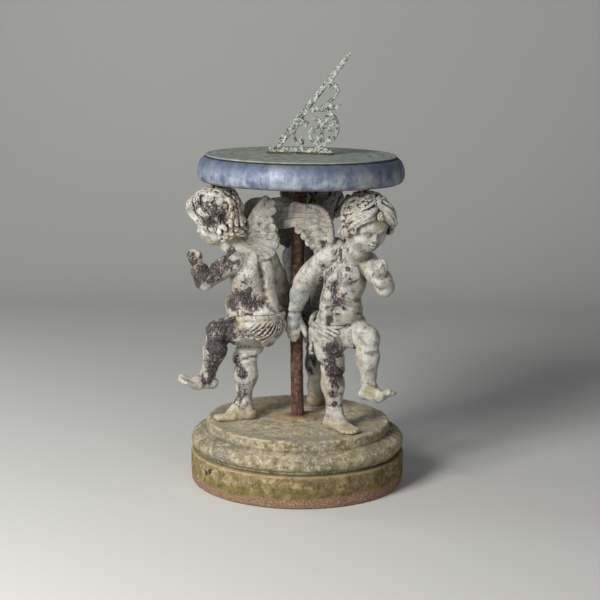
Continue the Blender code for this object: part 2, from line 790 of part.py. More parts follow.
LEFT_HIP = Vector((0.128, 0.056, 0.385))
LEFT_KNEE = Vector((0.193, 0.066, 0.377))
LEFT_CALF = Vector((0.203, 0.062, 0.335))
LEFT_ANKLE = Vector((0.219, 0.055, 0.268))
LEFT_HEEL = Vector((0.209, 0.051, 0.249))
LEFT_TOE = Vector((0.280, 0.074, 0.262))
LEFT_SHOULDER = Vector((0.159, 0.087, 0.550))
LEFT_ELBOW = Vector((0.228, 0.088, 0.501))
LEFT_FIST = Vector((0.250, 0.056, 0.552))

HIP_TURN = -29  # degrees the pelvis is turned about the vertical
LOOK_TURN = -8.0  # degrees the head is turned

# voxel sizes of the fused skins
BODY_VOXEL = 0.0040
LIMB_VOXEL = 0.0035
WING_VOXEL = 0.0032


def make_body():
    """Trunk, standing right leg and foot, with a flat sole."""
    form = bmesh.new()
    ellipsoid(form, PELVIS, (0.049, 0.0545, 0.044), turn=HIP_TURN)
    ellipsoid(form, RUMP, (0.0470, 0.0460, 0.0430), turn=HIP_TURN)
    ellipsoid(form, BELLY, (0.050, 0.0500, 0.050), turn=-35)
    ellipsoid(form, CHEST, (0.0465, 0.0510, 0.058), turn=-40)
    round_cones(form, [
        # trunk, shoulders, neck
        (shifted(CHEST, -0.004, 0, 0.02), 0.038, shifted(BELLY, -0.008, 0.004, 0.0), 0.046),
        (
            shifted(RIGHT_SHOULDER, 0.006, 0.005, -0.004), 0.0245,
            shifted(LEFT_SHOULDER, -0.004, -0.004, -0.002), 0.0235,
        ),
        ((0.126, 0.060, 0.546), 0.0300, NECK, 0.0250),
        # leg
        (RIGHT_HIP, 0.0400, RIGHT_KNEE, 0.0270),
        (RIGHT_KNEE, 0.0265, RIGHT_CALF, 0.0268),
        (RIGHT_CALF, 0.0268, RIGHT_ANKLE, 0.0185),
        # foot
        (RIGHT_ANKLE, 0.0185, (0.1220, 0.0160, 0.1680), 0.0175),
        (RIGHT_ANKLE, 0.0165, (0.1620, 0.0230, 0.1640), 0.0150),
        ((0.1180, 0.0150, 0.1640), 0.0165, (0.1660, 0.0280, 0.1600), 0.0135),
        ((0.1620, 0.0170, 0.1600), 0.0130, (0.1960, 0.0210, 0.1570), 0.0090),
        ((0.1600, 0.0320, 0.1590), 0.0110, (0.1860, 0.0400, 0.1560), 0.0075),
    ])
    body = fused(form, "putto_body", BODY_VOXEL, triangles=540)
    for vert in body.vertices:
        vert.co.z = max(vert.co.z, MOULD_TOP + GAP)
    return body


def make_raised_leg():
    """The left leg and foot, before it is fitted to the body."""
    form = bmesh.new()
    round_cones(form, [
        (shifted(LEFT_HIP, -0.008, -0.004, 0.0), 0.0390, LEFT_KNEE, 0.0290),
        (LEFT_KNEE, 0.0280, LEFT_CALF, 0.0270),
        (LEFT_CALF, 0.0270, LEFT_ANKLE, 0.0175),
        (LEFT_ANKLE, 0.0165, LEFT_HEEL, 0.0145),
        (LEFT_HEEL, 0.0140, (0.2480, 0.0640, 0.2480), 0.0130),
        (LEFT_ANKLE, 0.0145, (0.2450, 0.0630, 0.2520), 0.0135),
        ((0.2480, 0.0640, 0.2490), 0.0130, LEFT_TOE, 0.0090),
    ])
    return fused(form, "putto_raised_leg", LIMB_VOXEL, triangles=240)


def make_left_arm(body_space):
    form = bmesh.new()
    round_cones(form, [
        (LEFT_SHOULDER, 0.0255, LEFT_ELBOW, 0.0215),
        (LEFT_ELBOW, 0.0215, shifted(LEFT_FIST, -0.002, 0.003, -0.012), 0.0165),
    ])
    ellipsoid(form, LEFT_FIST, (0.0195, 0.0175, 0.0190), turn=-40)
    return boolean(fused(form, "putto_left_arm", LIMB_VOXEL, triangles=190), [body_space])


def make_right_arm(body_space):
    """The lowered arm, which keeps clear of the rod."""
    form = bmesh.new()
    round_cones(form, [
        (RIGHT_SHOULDER, 0.0260, RIGHT_ELBOW, 0.0230),
        (RIGHT_ELBOW, 0.0230, RIGHT_WRIST, 0.0175),
        (RIGHT_WRIST, 0.0160, RIGHT_HAND, 0.0160),
        (RIGHT_HAND, 0.0150, shifted(RIGHT_FINGERS, 0.0, 0.0, 0.006), 0.0120),
        (shifted(RIGHT_HAND, 0.008, 0.006, 0.004), 0.0110, (0.0440, -0.0080, 0.3640), 0.0070),
    ])
    rod_space = rod_mesh(ROD_R + CASTING_GAP, 0.10, 0.90, ROD_SEGMENTS)
    arm = fused(form, "putto_right_arm", LIMB_VOXEL, triangles=220)
    return boolean(arm, [body_space, rod_space])


LOCKS = 26
LOCK_TURN = 2.399963  # the golden angle in radians, from one lock of hair to the next
LOCK_DROP = 1.35  # how far down the unit sphere the locks reach from its top


def add_hair(form, look):
    """Locks in a spiral over the skull, left out where the face is."""
    for lock in range(LOCKS):
        up = 1.0 - LOCK_DROP * (lock + 0.5) / LOCKS
        turn = math.radians(LOOK_TURN) + lock * LOCK_TURN
        flat = math.sqrt(max(0.0, 1.0 - up * up))
        out = Vector((flat * math.cos(turn), flat * math.sin(turn), up))
        if out.dot(look) > 0.55 and up < 0.45:
            continue
        spot = shifted(CROWN, out.x * 0.0535, out.y * 0.0560, out.z * 0.0530)
        ellipsoid(form, spot, (0.0150, 0.0150, 0.0135))


def make_head(body_space):
    """Head and neck, flat on top under the table and drilled for the dowel."""
    look = Vector((math.cos(math.radians(LOOK_TURN)), math.sin(math.radians(LOOK_TURN)), 0.0))
    side = Vector((-look.y, look.x, 0.0))
    form = bmesh.new()
    ellipsoid(form, CROWN, (0.0600, 0.0610, 0.0575), turn=LOOK_TURN)
    jaw = shifted(HEAD + look * 0.014, 0, 0, -0.030)
    ellipsoid(form, jaw, (0.0430, 0.0430, 0.0420), turn=LOOK_TURN, tilt=20)
    round_cone(form, shifted(NECK, 0.004, 0.0, 0.006), 0.0235, shifted(HEAD, 0, 0, -0.01), 0.0300)
    add_hair(form, look)
    # a short bulge on the front of the head
    bulge = CROWN + look * 0.048 + side * 0.012
    round_cone(form, bulge, 0.0150, (0.2560, 0.0700, 0.6650), 0.0110)
    head = fused(form, "putto_head", BODY_VOXEL, triangles=360, rounds=2)
    for vert in head.vertices:
        vert.co.z = min(vert.co.z, TABLE_BOTTOM - 2 * GAP)
    hole = rod_mesh(
        DOWEL_HOLE_R,
        HEAD_DOWEL_LOW - GAP,
        HEAD_DOWEL_HIGH + OVERSHOOT,
        DOWEL_SEGMENTS,
        HEAD_DOWEL_AT,
    )
    return boolean(head, [body_space, hole])


# ---------------------------------------------------------------- wings
QUILL_R = 0.0068

# quill tips: (distance back from the shoulder blade, z)
LEFT_WING_TIPS = (
    (0.050, 0.552), (0.072, 0.568), (0.080, 0.594), (0.076, 0.628),
    (0.066, 0.650), (0.073, 0.676), (0.070, 0.692), (0.052, 0.701),
    (0.030, 0.690), (0.014, 0.668), (-0.004, 0.646),
)
LEFT_WING_ROOT = (Vector((0.118, 0.072, 0.556)), Vector((0.120, 0.060, 0.606)))
RIGHT_WING_TIPS = (
    (0.030, 0.566), (0.040, 0.578), (0.050, 0.600), (0.066, 0.617),
    (0.096, 0.628), (0.122, 0.640), (0.116, 0.660), (0.098, 0.676),
    (0.070, 0.684), (0.040, 0.684), (0.008, 0.672), (-0.006, 0.650),
)
RIGHT_WING_ROOT = (Vector((0.098, 0.036, 0.560)), Vector((0.112, 0.016, 0.606)))


def left_sheet(back, z):
    """The left wing lies in an upright plane that runs back and to the left."""
    return Vector((0.127 - 0.83 * back, 0.052 + 0.56 * back, z))


def right_sheet(back, z):
    """The right wing runs back and to the right, and nearer straight back as it rises."""
    rise = min(1.0, max(0.0, (z - 0.56) / 0.125))
    low = Vector((0.104 - 0.75 * back, 0.014 - 0.66 * back, 0.0))
    high = Vector((0.134 - 0.95 * back, -0.016 - 0.30 * back, 0.0))
    return shifted(low.lerp(high, rise), 0.0, 0.0, z)


def wing(tips, root, name, triangles):
    """A raised wing: a quill runs to each tip, with a web from the root's line between them."""
    root_low, root_high = root
    form = bmesh.new()
    count = len(tips)
    roots = [root_low.lerp(root_high, k / (count - 1)) for k in range(count)]
    for k, tip in enumerate(tips):
        round_cone(form, roots[k].lerp(tip, 0.6), QUILL_R, tip, QUILL_R * 0.95)
        if k:
            ball_hull(form, [
                (roots[k - 1], QUILL_R),
                (roots[k], QUILL_R),
                (roots[k - 1].lerp(tips[k - 1], 0.88), QUILL_R * 0.9),
                (roots[k].lerp(tip, 0.88), QUILL_R * 0.9),
            ])
    return fused(form, name, WING_VOXEL, triangles, rounds=2)


def make_left_wing(body_space, head, left_arm):
    tips = [left_sheet(*tip) for tip in LEFT_WING_TIPS]
    mesh = wing(tips, LEFT_WING_ROOT, "putto_left_wing", triangles=170)
    return boolean(mesh, [body_space, grown(head), grown(left_arm)])


def make_right_wing(body_space, head, right_arm, left_wing):
    tips = [right_sheet(*tip) for tip in RIGHT_WING_TIPS]
    mesh = wing(tips, RIGHT_WING_ROOT, "putto_right_wing", triangles=190)
    return boolean(mesh, [body_space, grown(head), grown(right_arm), grown(left_wing)])


# ---------------------------------------------------------------- drapery
BELT_STEPS = 12
BELT_R = 0.0080
BELT_SIDEWAYS = Vector((0.50, 0.87, 0.0))  # towards the putto's left
BELT_FORWARD = Vector((0.87, -0.50, 0.0))
BELT_HALF_W = 0.054
BELT_FRONT_REACH = 0.050
BELT_BACK_REACH = 0.078
FOLD_TOP = (0.074, 0.020, 0.390)
FOLD_ENDS = ((0.066, 0.010, 0.338), (0.078, -0.012, 0.330), (0.066, 0.034, 0.345))


def belt_points():
    """A loop round the hips that reaches further behind than in front."""
    points = []
    for k in range(BELT_STEPS):
        angle = math.tau * k / BELT_STEPS
        lateral, front = math.cos(angle), math.sin(angle)
        reach = BELT_FRONT_REACH if front > 0 else BELT_BACK_REACH
        points.append(
            shifted(PELVIS, 0.002, 0.001, 0.021 + 0.006 * lateral)
            + BELT_SIDEWAYS * lateral * BELT_HALF_W
            + BELT_FORWARD * front * reach
        )
    return points


def make_drapery(body_space, leg_space, right_arm):
    form = bmesh.new()
    hips = shifted(PELVIS, 0.002, 0.001, -0.010)
    ellipsoid(form, hips, (0.0570, 0.0620, 0.0400), turn=HIP_TURN)
    seat = shifted(RUMP, 0.001, 0.0, -0.022)
    ellipsoid(form, seat, (0.0500, 0.0500, 0.0400), turn=HIP_TURN)
    belt = belt_points()
    for k in range(BELT_STEPS):
        round_cone(form, belt[k], BELT_R, belt[(k + 1) % BELT_STEPS], BELT_R)
    for low in FOLD_ENDS:
        round_cone(form, FOLD_TOP, 0.0170, low, 0.0095)
    front_fold = shifted(PELVIS, 0.040, -0.020, 0.010)
    round_cone(form, front_fold, 0.0130, (0.150, 0.021, 0.340), 0.0110)
    drapery = fused(form, "putto_drapery", LIMB_VOXEL, triangles=270)
    return boolean(drapery, [body_space, leg_space, grown(right_arm)])


# ---------------------------------------------------------------- the three putti
def dowel(at, low, high):
    return rod_mesh(DOWEL_R, low, high, DOWEL_SEGMENTS, at, chamfer=DOWEL_CHAMFER)


def make_castings():
    """The lead pieces of one putto, each cut clear of those before it."""
    body = make_body()
    body_space = grown(body)
    raised_leg = make_raised_leg()
    leg_space = grown(raised_leg)
    left_arm = make_left_arm(body_space)
    right_arm = make_right_arm(body_space)
    head = make_head(body_space)
    left_wing = make_left_wing(body_space, head, left_arm)
    hole = rod_mesh(
        DOWEL_HOLE_R, FOOT_DOWEL_LOW, FOOT_DOWEL_HIGH + GAP, DOWEL_SEGMENTS, FOOT_DOWEL_AT
    )
    return {
        "body": boolean(body, [hole]),
        "head": head,
        "left_arm": left_arm,
        "right_arm": right_arm,
        "raised_leg": boolean(raised_leg, [body_space]),
        "left_wing": left_wing,
        "right_wing": make_right_wing(body_space, head, right_arm, left_wing),
        "drapery": make_drapery(body_space, leg_space, right_arm),
    }


def build_putti():
    """Three putti that share one set of meshes."""
    castings = make_castings()
    dowels = {
        "foot_dowel": dowel(FOOT_DOWEL_AT, FOOT_DOWEL_LOW, FOOT_DOWEL_HIGH),
        "head_dowel": dowel(HEAD_DOWEL_AT, HEAD_DOWEL_LOW, HEAD_DOWEL_HIGH),
    }
    for where, angle in PUTTO_ANGLE.items():
        for pieces, material in ((castings, CAST_LEAD), (dowels, RUSTED_IRON)):
            for piece, mesh in pieces.items():
                place(f"{where}_putto_{piece}", mesh, material, angle)


# ---------------------------------------------------------------- the whole sundial
build_plinth()
build_moulding()
build_mortar()
build_rod()
build_flange()
build_flange_screws()
build_table_core()
build_table_shell()
build_pivot_pin()
turn_axis = build_turn_axis()
build_dial_plate(turn_axis)
build_foot_plate(turn_axis)
build_gnomon_screws(turn_axis)
build_gnomon(turn_axis)
build_putti()
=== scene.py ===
"""A garden sundial: a round stone plinth and moulded base, three cast-lead putti round an
iron rod, and a lead-skirted table with an engraved plate and a pierced bronze gnomon.

The rod stands on +Z through the origin and the plinth rests at z = 0; the camera looks
along +Y. Turned pieces are in metres. The putto is sculpted once in distance fields, in
millimetres, standing on the +X side of the rod, and then turned to its three places. The
gnomon is sculpted the same way. "Left" and "right" on a putto are its own.
"""
import math
from itertools import product

import bpy
import numpy as np
from mathutils import Matrix, Vector


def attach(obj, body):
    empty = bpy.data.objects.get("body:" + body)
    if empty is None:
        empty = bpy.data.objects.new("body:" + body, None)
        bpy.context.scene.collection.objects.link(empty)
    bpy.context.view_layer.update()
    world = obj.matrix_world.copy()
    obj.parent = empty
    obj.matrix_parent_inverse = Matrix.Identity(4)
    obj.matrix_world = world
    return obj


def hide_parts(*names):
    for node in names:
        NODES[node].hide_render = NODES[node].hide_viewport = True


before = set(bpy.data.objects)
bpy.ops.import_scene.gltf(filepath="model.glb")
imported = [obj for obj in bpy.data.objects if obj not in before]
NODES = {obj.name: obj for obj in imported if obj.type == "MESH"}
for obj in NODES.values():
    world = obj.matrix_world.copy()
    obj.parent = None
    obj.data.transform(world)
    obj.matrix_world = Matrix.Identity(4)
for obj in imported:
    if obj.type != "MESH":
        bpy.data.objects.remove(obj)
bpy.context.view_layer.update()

SCENE = bpy.context.scene
TAU = math.tau
CORNERS = list(product((0, 1), repeat=3))
FAR = 60.0  # field value away from every item, mm

PUTTO_ANGLE = {"left": 183.0, "right": -57.0, "rear": 63.0}
GNOMON_YAW = math.radians(-8.0)
LATITUDE = math.radians(52.5)  # slope of the gnomon's style

# Heights and radii of the turned pieces, metres
ROD_HOLE = 0.0158
ROD_FOOT = 0.0300
PIN_HOLE = 0.0053
PLINTH_TOP = 0.0775
BASE_LOW = 0.0778
BASE_TOP = 0.1500
MORTAR_LOW = 0.1503
PLATE_LOW = 0.7896
PLATE_TOP = 0.7936


# =============================================================== noise
def lattice(seed, cells=32):
    """A tileable cube of random numbers between -1 and 1."""
    values = np.random.default_rng(seed).uniform(-1.0, 1.0, (cells, cells, cells))
    return values.astype(np.float32)


LATTICES = [lattice(seed) for seed in (11, 23, 37, 53)]


def value_noise(points, wave, seed):
    """Smooth noise at points (N, 3), with features about one wave across."""
    cube = LATTICES[seed % 4]
    cells = cube.shape[0]
    spot = np.asarray(points, np.float64) / wave + 7.31 * seed
    base = np.floor(spot)
    share = spot - base
    share = share * share * (3.0 - 2.0 * share)
    low = base.astype(np.int64) % cells
    ends = (low, (low + 1) % cells)
    shares = (1.0 - share, share)
    total = 0.0
    for a, b, c in CORNERS:
        weight = shares[a][:, 0] * shares[b][:, 1] * shares[c][:, 2]
        total = total + cube[ends[a][:, 0], ends[b][:, 1], ends[c][:, 2]] * weight
    return total


def fbm(points, wave, octaves, seed):
    """Noise summed over octaves, each half the size and strength of the one before."""
    total, gain, norm = 0.0, 1.0, 0.0
    for k in range(octaves):
        total = total + gain * value_noise(points, wave / (2.0**k), seed + k)
        norm += gain
        gain *= 0.5
    return total / norm


def soft(value, low, high):
    """A smooth step from 0 at low to 1 at high."""
    share = np.clip((value - low) / (high - low), 0, 1)
    return share * share * (3 - 2 * share)


# =============================================================== distance-field items, mm
# An item is (low corner, high corner, field, blend width, whether it cuts).
def smooth_low(first, second, blend):
    near = np.maximum(blend - np.abs(first - second), 0.0) / blend
    return np.minimum(first, second) - near * near * (blend * 0.25)


def smooth_high(first, second, blend):
    return -smooth_low(-first, -second, blend)


def vec(*values):
    return np.array(values, float)


def unit(vector):
    return vector / np.linalg.norm(vector)


def cone(start, end, start_radius, end_radius, blend, cut=False):
    """A round-ended bar that tapers from one radius to the other."""
    start, end = np.asarray(start, float), np.asarray(end, float)
    span = end - start
    length2 = max(float(span @ span), 1e-4)
    start_x, start_y, start_z = map(float, start)
    span_x, span_y, span_z = map(float, span)
    near_radius, far_radius = float(start_radius), float(end_radius)

    def value(x, y, z):
        px, py, pz = x - start_x, y - start_y, z - start_z
        share = (px * span_x + py * span_y + pz * span_z) * (1.0 / length2)
        share = np.clip(share, 0.0, 1.0)
        px, py, pz = px - share * span_x, py - share * span_y, pz - share * span_z
        away = np.sqrt(px * px + py * py + pz * pz)
        return away - (near_radius + (far_radius - near_radius) * share)

    reach = max(near_radius, far_radius)
    low, high = np.minimum(start, end) - reach, np.maximum(start, end) + reach
    return (low, high, value, float(blend), cut)


def ball(centre, radius, blend, cut=False):
    return cone(centre, np.asarray(centre, float) + (0, 0, 0.01), radius, radius, blend, cut)


UPRIGHT = np.eye(3)


def turned_axes(turn, tilt=0.0):
    """Rows are the axes of an ellipsoid tilted about Y, then turned about Z, in degrees."""
    turned = Matrix.Rotation(math.radians(turn), 3, "Z")
    return np.array(turned @ Matrix.Rotation(math.radians(tilt), 3, "Y")).T


def oval(centre, radii, axes, blend, cut=False):
    """An ellipsoid with its radii along the rows of axes."""
    centre = np.asarray(centre, float)
    radii = np.asarray(radii, float)
    half = np.sqrt(((axes * radii[:, None]) ** 2).sum(0))
    scaled = (axes / radii[:, None]).tolist()
    scaled2 = (axes / (radii[:, None] ** 2)).tolist()
    mid_x, mid_y, mid_z = map(float, centre)

    def value(x, y, z):
        px, py, pz = x - mid_x, y - mid_y, z - mid_z
        size = slope = 0.0
        for row, row2 in zip(scaled, scaled2):
            near = px * row[0] + py * row[1] + pz * row[2]
            steep = px * row2[0] + py * row2[1] + pz * row2[2]
            size = size + near * near
            slope = slope + steep * steep
        size = np.sqrt(size)
        slope = np.maximum(np.sqrt(slope), 1e-4)
        return size * (size - 1.0) / slope

    return (centre - half, centre + half, value, float(blend), cut)


def chain(points, radii, blend, cut=False):
    """Cones end to end through points; radii is one number or one for each point."""
    if np.isscalar(radii):
        radii = [radii] * len(points)
    return [
        cone(points[i], points[i + 1], radii[i], radii[i + 1], blend, cut)
        for i in range(len(points) - 1)
    ]


def smooth_path(points, count):
    """A Catmull-Rom curve through points, read at count places."""
    knots = np.asarray(points, float)
    knots = np.vstack([2 * knots[0] - knots[1], knots, 2 * knots[-1] - knots[-2]])
    spans = len(knots) - 3
    out = []
    for j in range(count):
        place = spans * j / (count - 1)
        i = min(int(place), spans - 1)
        t = place - i
        a, b, c, d = knots[i : i + 4]
        square = (2 * a - 5 * b + 4 * c - d) * t * t
        out.append(0.5 * (2 * b + (c - a) * t + square + (3 * b - a - 3 * c + d) * t**3))
    return np.array(out)


def spread(values, count):
    return np.interp(np.linspace(0, 1, count), np.linspace(0, 1, len(values)), values)


def tube(points, radii, count, blend, cut=False):
    return chain(smooth_path(points, count), spread(radii, count), blend, cut)


def at_points(items, points):
    """The field of a list of items at points (N, 3)."""
    x, y, z = points[:, 0], points[:, 1], points[:, 2]
    field = np.full(len(points), FAR)
    for _, _, value, blend, cut in items:
        near = value(x, y, z)
        field = smooth_high(field, -near, blend) if cut else smooth_low(field, near, blend)
    return field


def snap(items, points, rounds):
    """Moves points onto the surface of the items."""
    points = np.array(points, float)
    gap = 0.4
    for _ in range(rounds):
        field = at_points(items, points)
        slope = [
            at_points(items, points + gap * axis) - at_points(items, points - gap * axis)
            for axis in np.eye(3)
        ]
        slope = np.stack(slope, 1)
        slope /= np.maximum(np.linalg.norm(slope, axis=1, keepdims=True), 1e-6)
        points -= slope * np.clip(field, -15, 15)[:, None] * 0.9
    return points


def grooves(flesh, rows):
    """Soft grooves laid on the flesh. A row is points, radii, blend and point count."""
    cuts = []
    for points, radii, blend, count in rows:
        path = snap(flesh, smooth_path(points, count), 6)
        cuts += chain(path, spread(radii, count), blend, True)
    return cuts


def arc(centre, radius, start, end, low, high, count):
    """Points round a centre, from start to end in degrees and from low to high."""
    share = np.arange(count) / (count - 1)
    turn = np.radians(start + (end - start) * share)
    x, y = centre[0] + radius * np.cos(turn), centre[1] + radius * np.sin(turn)
    return np.stack([x, y, low + (high - low) * share], 1)


def frame_of(origin, first, second, third):
    """A function that places a point by its distances along three directions."""

    def place(along_first, along_second, along_third=0):
        return origin + first * along_first + second * along_second + third * along_third

    return place


class Grid:
    """A box of evenly spaced samples."""

    def __init__(self, low, high, step):
        self.low = low
        self.step = float(step)
        self.count = np.ceil((high - low) / step).astype(int) + 1
        self.axes = [
            (low[i] + step * np.arange(self.count[i])).astype(np.float32) for i in range(3)
        ]

    def window(self, low, high):
        """The slices and axes of the samples between two corners, or None."""
        first = np.floor((low - self.low) / self.step).astype(int)
        last = np.ceil((high - self.low) / self.step).astype(int) + 1
        first, last = np.clip(first, 0, self.count), np.clip(last, 0, self.count)
        if (last <= first).any():
            return None
        where = tuple(slice(int(first[i]), int(last[i])) for i in range(3))
        x, y, z = (axis[part] for axis, part in zip(self.axes, where))
        return where, x[:, None, None], y[None, :, None], z[None, None, :]

    def whole(self):
        x, y, z = self.axes
        return x[:, None, None], y[None, :, None], z[None, None, :]

    def field(self, items, start=None):
        """The field of a list of items, added to a starting field where there is one."""
        field = np.full(tuple(self.count), FAR, np.float32) if start is None else start
        for low, high, value, blend, cut in items:
            margin = max(blend, 3.0 * self.step) + 2.0
            found = self.window(low - margin, high + margin)
            if found is None:
                continue
            where, x, y, z = found
            near = value(x, y, z)
            here = field[where]
            if cut:
                field[where] = smooth_high(here, -near, blend)
            else:
                field[where] = smooth_low(here, near, blend)
        return field

    def noise(self, wave, seed):
        """Value noise over the whole grid, spread one axis at a time."""
        cube = LATTICES[seed % 4]
        cells = cube.shape[0]
        for i in range(3):
            spot = self.axes[i].astype(np.float64) / wave + 3.77 * seed + 1.3 * i
            base = np.floor(spot)
            share = spot - base
            share = (share * share * (3 - 2 * share)).astype(np.float32)
            shape = [1, 1, 1]
            shape[i] = -1
            share = share.reshape(shape)
            low = base.astype(np.int64) % cells
            cube = cube.take(low, i) * (1 - share) + cube.take((low + 1) % cells, i) * share
        return cube

    def sample(self, field, points):
        """The field at points (N, 3), trilinear."""
        spot = (points - self.low) / self.step
        spot = np.clip(spot, 0, np.array(field.shape) - 1.001)
        cell = spot.astype(int)
        share = spot - cell
        shares = (1 - share, share)
        total = 0.0
        for a, b, c in CORNERS:
            weight = shares[a][:, 0] * shares[b][:, 1] * shares[c][:, 2]
            total = total + field[cell[:, 0] + a, cell[:, 1] + b, cell[:, 2] + c] * weight
        return total


# =============================================================== meshes
def surface(field, grid):
    """Vertices and quads of the zero level of a field, by naive surface nets."""
    field = field.copy()
    for side in (0, -1):
        field[side] = field[:, side] = field[:, :, side] = 1.0
    inside = field < 0
    nx, ny, nz = (size - 1 for size in field.shape)
    total = np.zeros((nx, ny, nz), np.int8)
    for a, b, c in CORNERS:
        total += inside[a : nx + a, b : ny + b, c : nz + c]
    active = (total > 0) & (total < 8)
    cells = np.argwhere(active)
    number = np.full(active.shape, -1, np.int64)
    number[active] = np.arange(len(cells))
    corner = {
        (a, b, c): field[cells[:, 0] + a, cells[:, 1] + b, cells[:, 2] + c]
        for a, b, c in CORNERS
    }
    place = np.zeros((len(cells), 3))
    count = np.zeros(len(cells))
    for start in CORNERS:
        for axis in range(3):
            if start[axis]:
                continue
            end = list(start)
            end[axis] = 1
            first, second = corner[start], corner[tuple(end)]
            cross = (first < 0) != (second < 0)
            share = np.where(cross, first / np.where(cross, first - second, 1.0), 0.0)
            point = np.tile(np.array(start, float), (len(cells), 1))
            point[:, axis] = share
            place += point * cross[:, None]
            count += cross
    place /= np.maximum(count, 1)[:, None]
    verts = grid.low + (cells + place) * grid.step
    quads = []
    for axis, (i, j) in enumerate(((1, 2), (2, 0), (0, 1))):
        size = field.shape[axis]
        below, above = inside.take(range(size - 1), axis), inside.take(range(1, size), axis)
        for flip, mask in ((False, below & ~above), (True, ~below & above)):
            edge = np.argwhere(mask)
            clear = (edge[:, i] > 0) & (edge[:, j] > 0)
            clear &= (edge[:, i] < field.shape[i] - 1) & (edge[:, j] < field.shape[j] - 1)
            edge = edge[clear]
            ring = []
            for back_i, back_j in ((0, 0), (1, 0), (1, 1), (0, 1)):
                cell = edge.copy()
                cell[:, i] -= back_i
                cell[:, j] -= back_j
                ring.append(number[cell[:, 0], cell[:, 1], cell[:, 2]])
            ring = np.stack(ring, 1)
            quads.append(ring[:, ::-1] if flip else ring)
    return largest(verts, np.concatenate(quads))


def edges_of(quads):
    return np.concatenate([quads[:, [k, (k + 1) % 4]] for k in range(4)])


def largest(verts, quads):
    """Keeps the biggest connected part."""
    label = np.arange(len(verts))
    edges = edges_of(quads)
    for _ in range(400):
        low = np.minimum(label[edges[:, 0]], label[edges[:, 1]])
        before = label.copy()
        np.minimum.at(label, edges[:, 0], low)
        np.minimum.at(label, edges[:, 1], low)
        label = label[label]
        label = label[label]
        if (label == before).all():
            break
    labels, counts = np.unique(label, return_counts=True)
    keep = label == labels[counts.argmax()]
    new = np.cumsum(keep) - 1
    quads = quads[keep[quads].all(1)]
    return verts[keep], new[quads]


def neighbour_mean(verts, edges):
    total = np.zeros_like(verts)
    count = np.zeros(len(verts))
    for near, far in ((0, 1), (1, 0)):
        np.add.at(total, edges[:, near], verts[edges[:, far]])
        np.add.at(count, edges[:, near], 1)
    return total / np.maximum(count, 1)[:, None]


def vertex_normals(verts, groups):
    """Unit normals; groups are arrays of triangles or quads."""
    normals = np.zeros_like(verts)
    for group in groups:
        a, b, c = (verts[group[:, k]] for k in range(3))
        if group.shape[1] == 3:
            face = np.cross(b - a, c - a)
        else:
            face = np.cross(c - a, verts[group[:, 3]] - b)
        for k in range(group.shape[1]):
            np.add.at(normals, group[:, k], face)
    return normals / np.maximum(np.linalg.norm(normals, axis=1, keepdims=True), 1e-12)


def cavity_of(verts, quads, rounds):
    """How hollow (positive) or proud (negative) each vertex is against its surroundings."""
    edges = edges_of(quads)
    smooth = verts.copy()
    for _ in range(rounds):
        smooth = 0.5 * smooth + 0.5 * neighbour_mean(smooth, edges)
    return ((smooth - verts) * vertex_normals(verts, [quads])).sum(1)


def to_metres(verts, angle):
    """Turns points about Z by an angle in radians, and takes them from mm to metres."""
    cosine, sine = math.cos(angle), math.sin(angle)
    return verts @ np.array([[cosine, sine, 0], [-sine, cosine, 0], [0, 0, 1]]) / 1000.0


def make(name, verts, groups, body, node, attributes):
    """A smooth mesh object in metres that rides on a body and stands for a CAD node."""
    mesh = bpy.data.meshes.new(name)
    loops = np.concatenate([np.asarray(group, np.int32).ravel() for group in groups])
    totals = np.concatenate([np.full(len(group), group.shape[1], np.int32) for group in groups])
    starts = np.concatenate([[0], np.cumsum(totals)[:-1]]).astype(np.int32)
    mesh.vertices.add(len(verts))
    mesh.vertices.foreach_set("co", np.asarray(verts, np.float32).ravel())
    mesh.loops.add(len(loops))
    mesh.loops.foreach_set("vertex_index", loops)
    mesh.polygons.add(len(totals))
    mesh.polygons.foreach_set("loop_start", starts)
    mesh.polygons.foreach_set("loop_total", totals)
    mesh.update(calc_edges=True)
    mesh.validate(verbose=False)
    mesh.polygons.foreach_set("use_smooth", np.full(len(mesh.polygons), True))
    for key, values in attributes.items():
        layer = mesh.attributes.new(key, "FLOAT", "POINT")
        layer.data.foreach_set("value", np.asarray(values, np.float32))
    obj = bpy.data.objects.new(name, mesh)
    SCENE.collection.objects.link(obj)
    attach(obj, body)
    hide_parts(node)
    return obj


# =============================================================== putto: landmarks, mm
PELVIS, RUMP, BELLY = vec(116, 33, 387), vec(92, 50, 412), vec(126, 36, 437)
CHEST, NECK, HEAD = vec(120, 52, 508), vec(166, 48, 592), vec(199, 53, 655)
SHOULDER_R, SHOULDER_L = vec(98, 41, 559), vec(159, 87, 550)
HIP_R, KNEE_R, ANKLE_R = vec(103, 14, 378), vec(131, 13, 297), vec(132, 18, 200)
HIP_L, KNEE_L, ANKLE_L = vec(128, 56, 385), vec(193, 66, 377), vec(219, 55, 268)
HEEL_L = vec(209, 51, 249)
ELBOW_L, FIST_L = vec(228, 88, 501), vec(250, 56, 552)
ELBOW_R, WRIST_R, HAND_R = vec(53, -25, 494), vec(31, -33, 419), vec(26, -30, 386)
SOLE, TOP = 150.3, 729.9
UP = vec(0, 0, 1)


def heading(degrees):
    """Front, left and up of a part that faces this way round from +X."""
    turn = math.radians(degrees)
    return vec(math.cos(turn), math.sin(turn), 0), vec(-math.sin(turn), math.cos(turn), 0), UP


# Places in front, to the left and above a landmark
BELLY_FRONT, BELLY_LEFT, _ = heading(-43)
chest = frame_of(CHEST, *heading(-53))
neck = frame_of(NECK, *heading(-53))
belly = frame_of(BELLY, *heading(-43))
pelvis = frame_of(PELVIS, *heading(-31))
rump = frame_of(RUMP, *heading(-31))

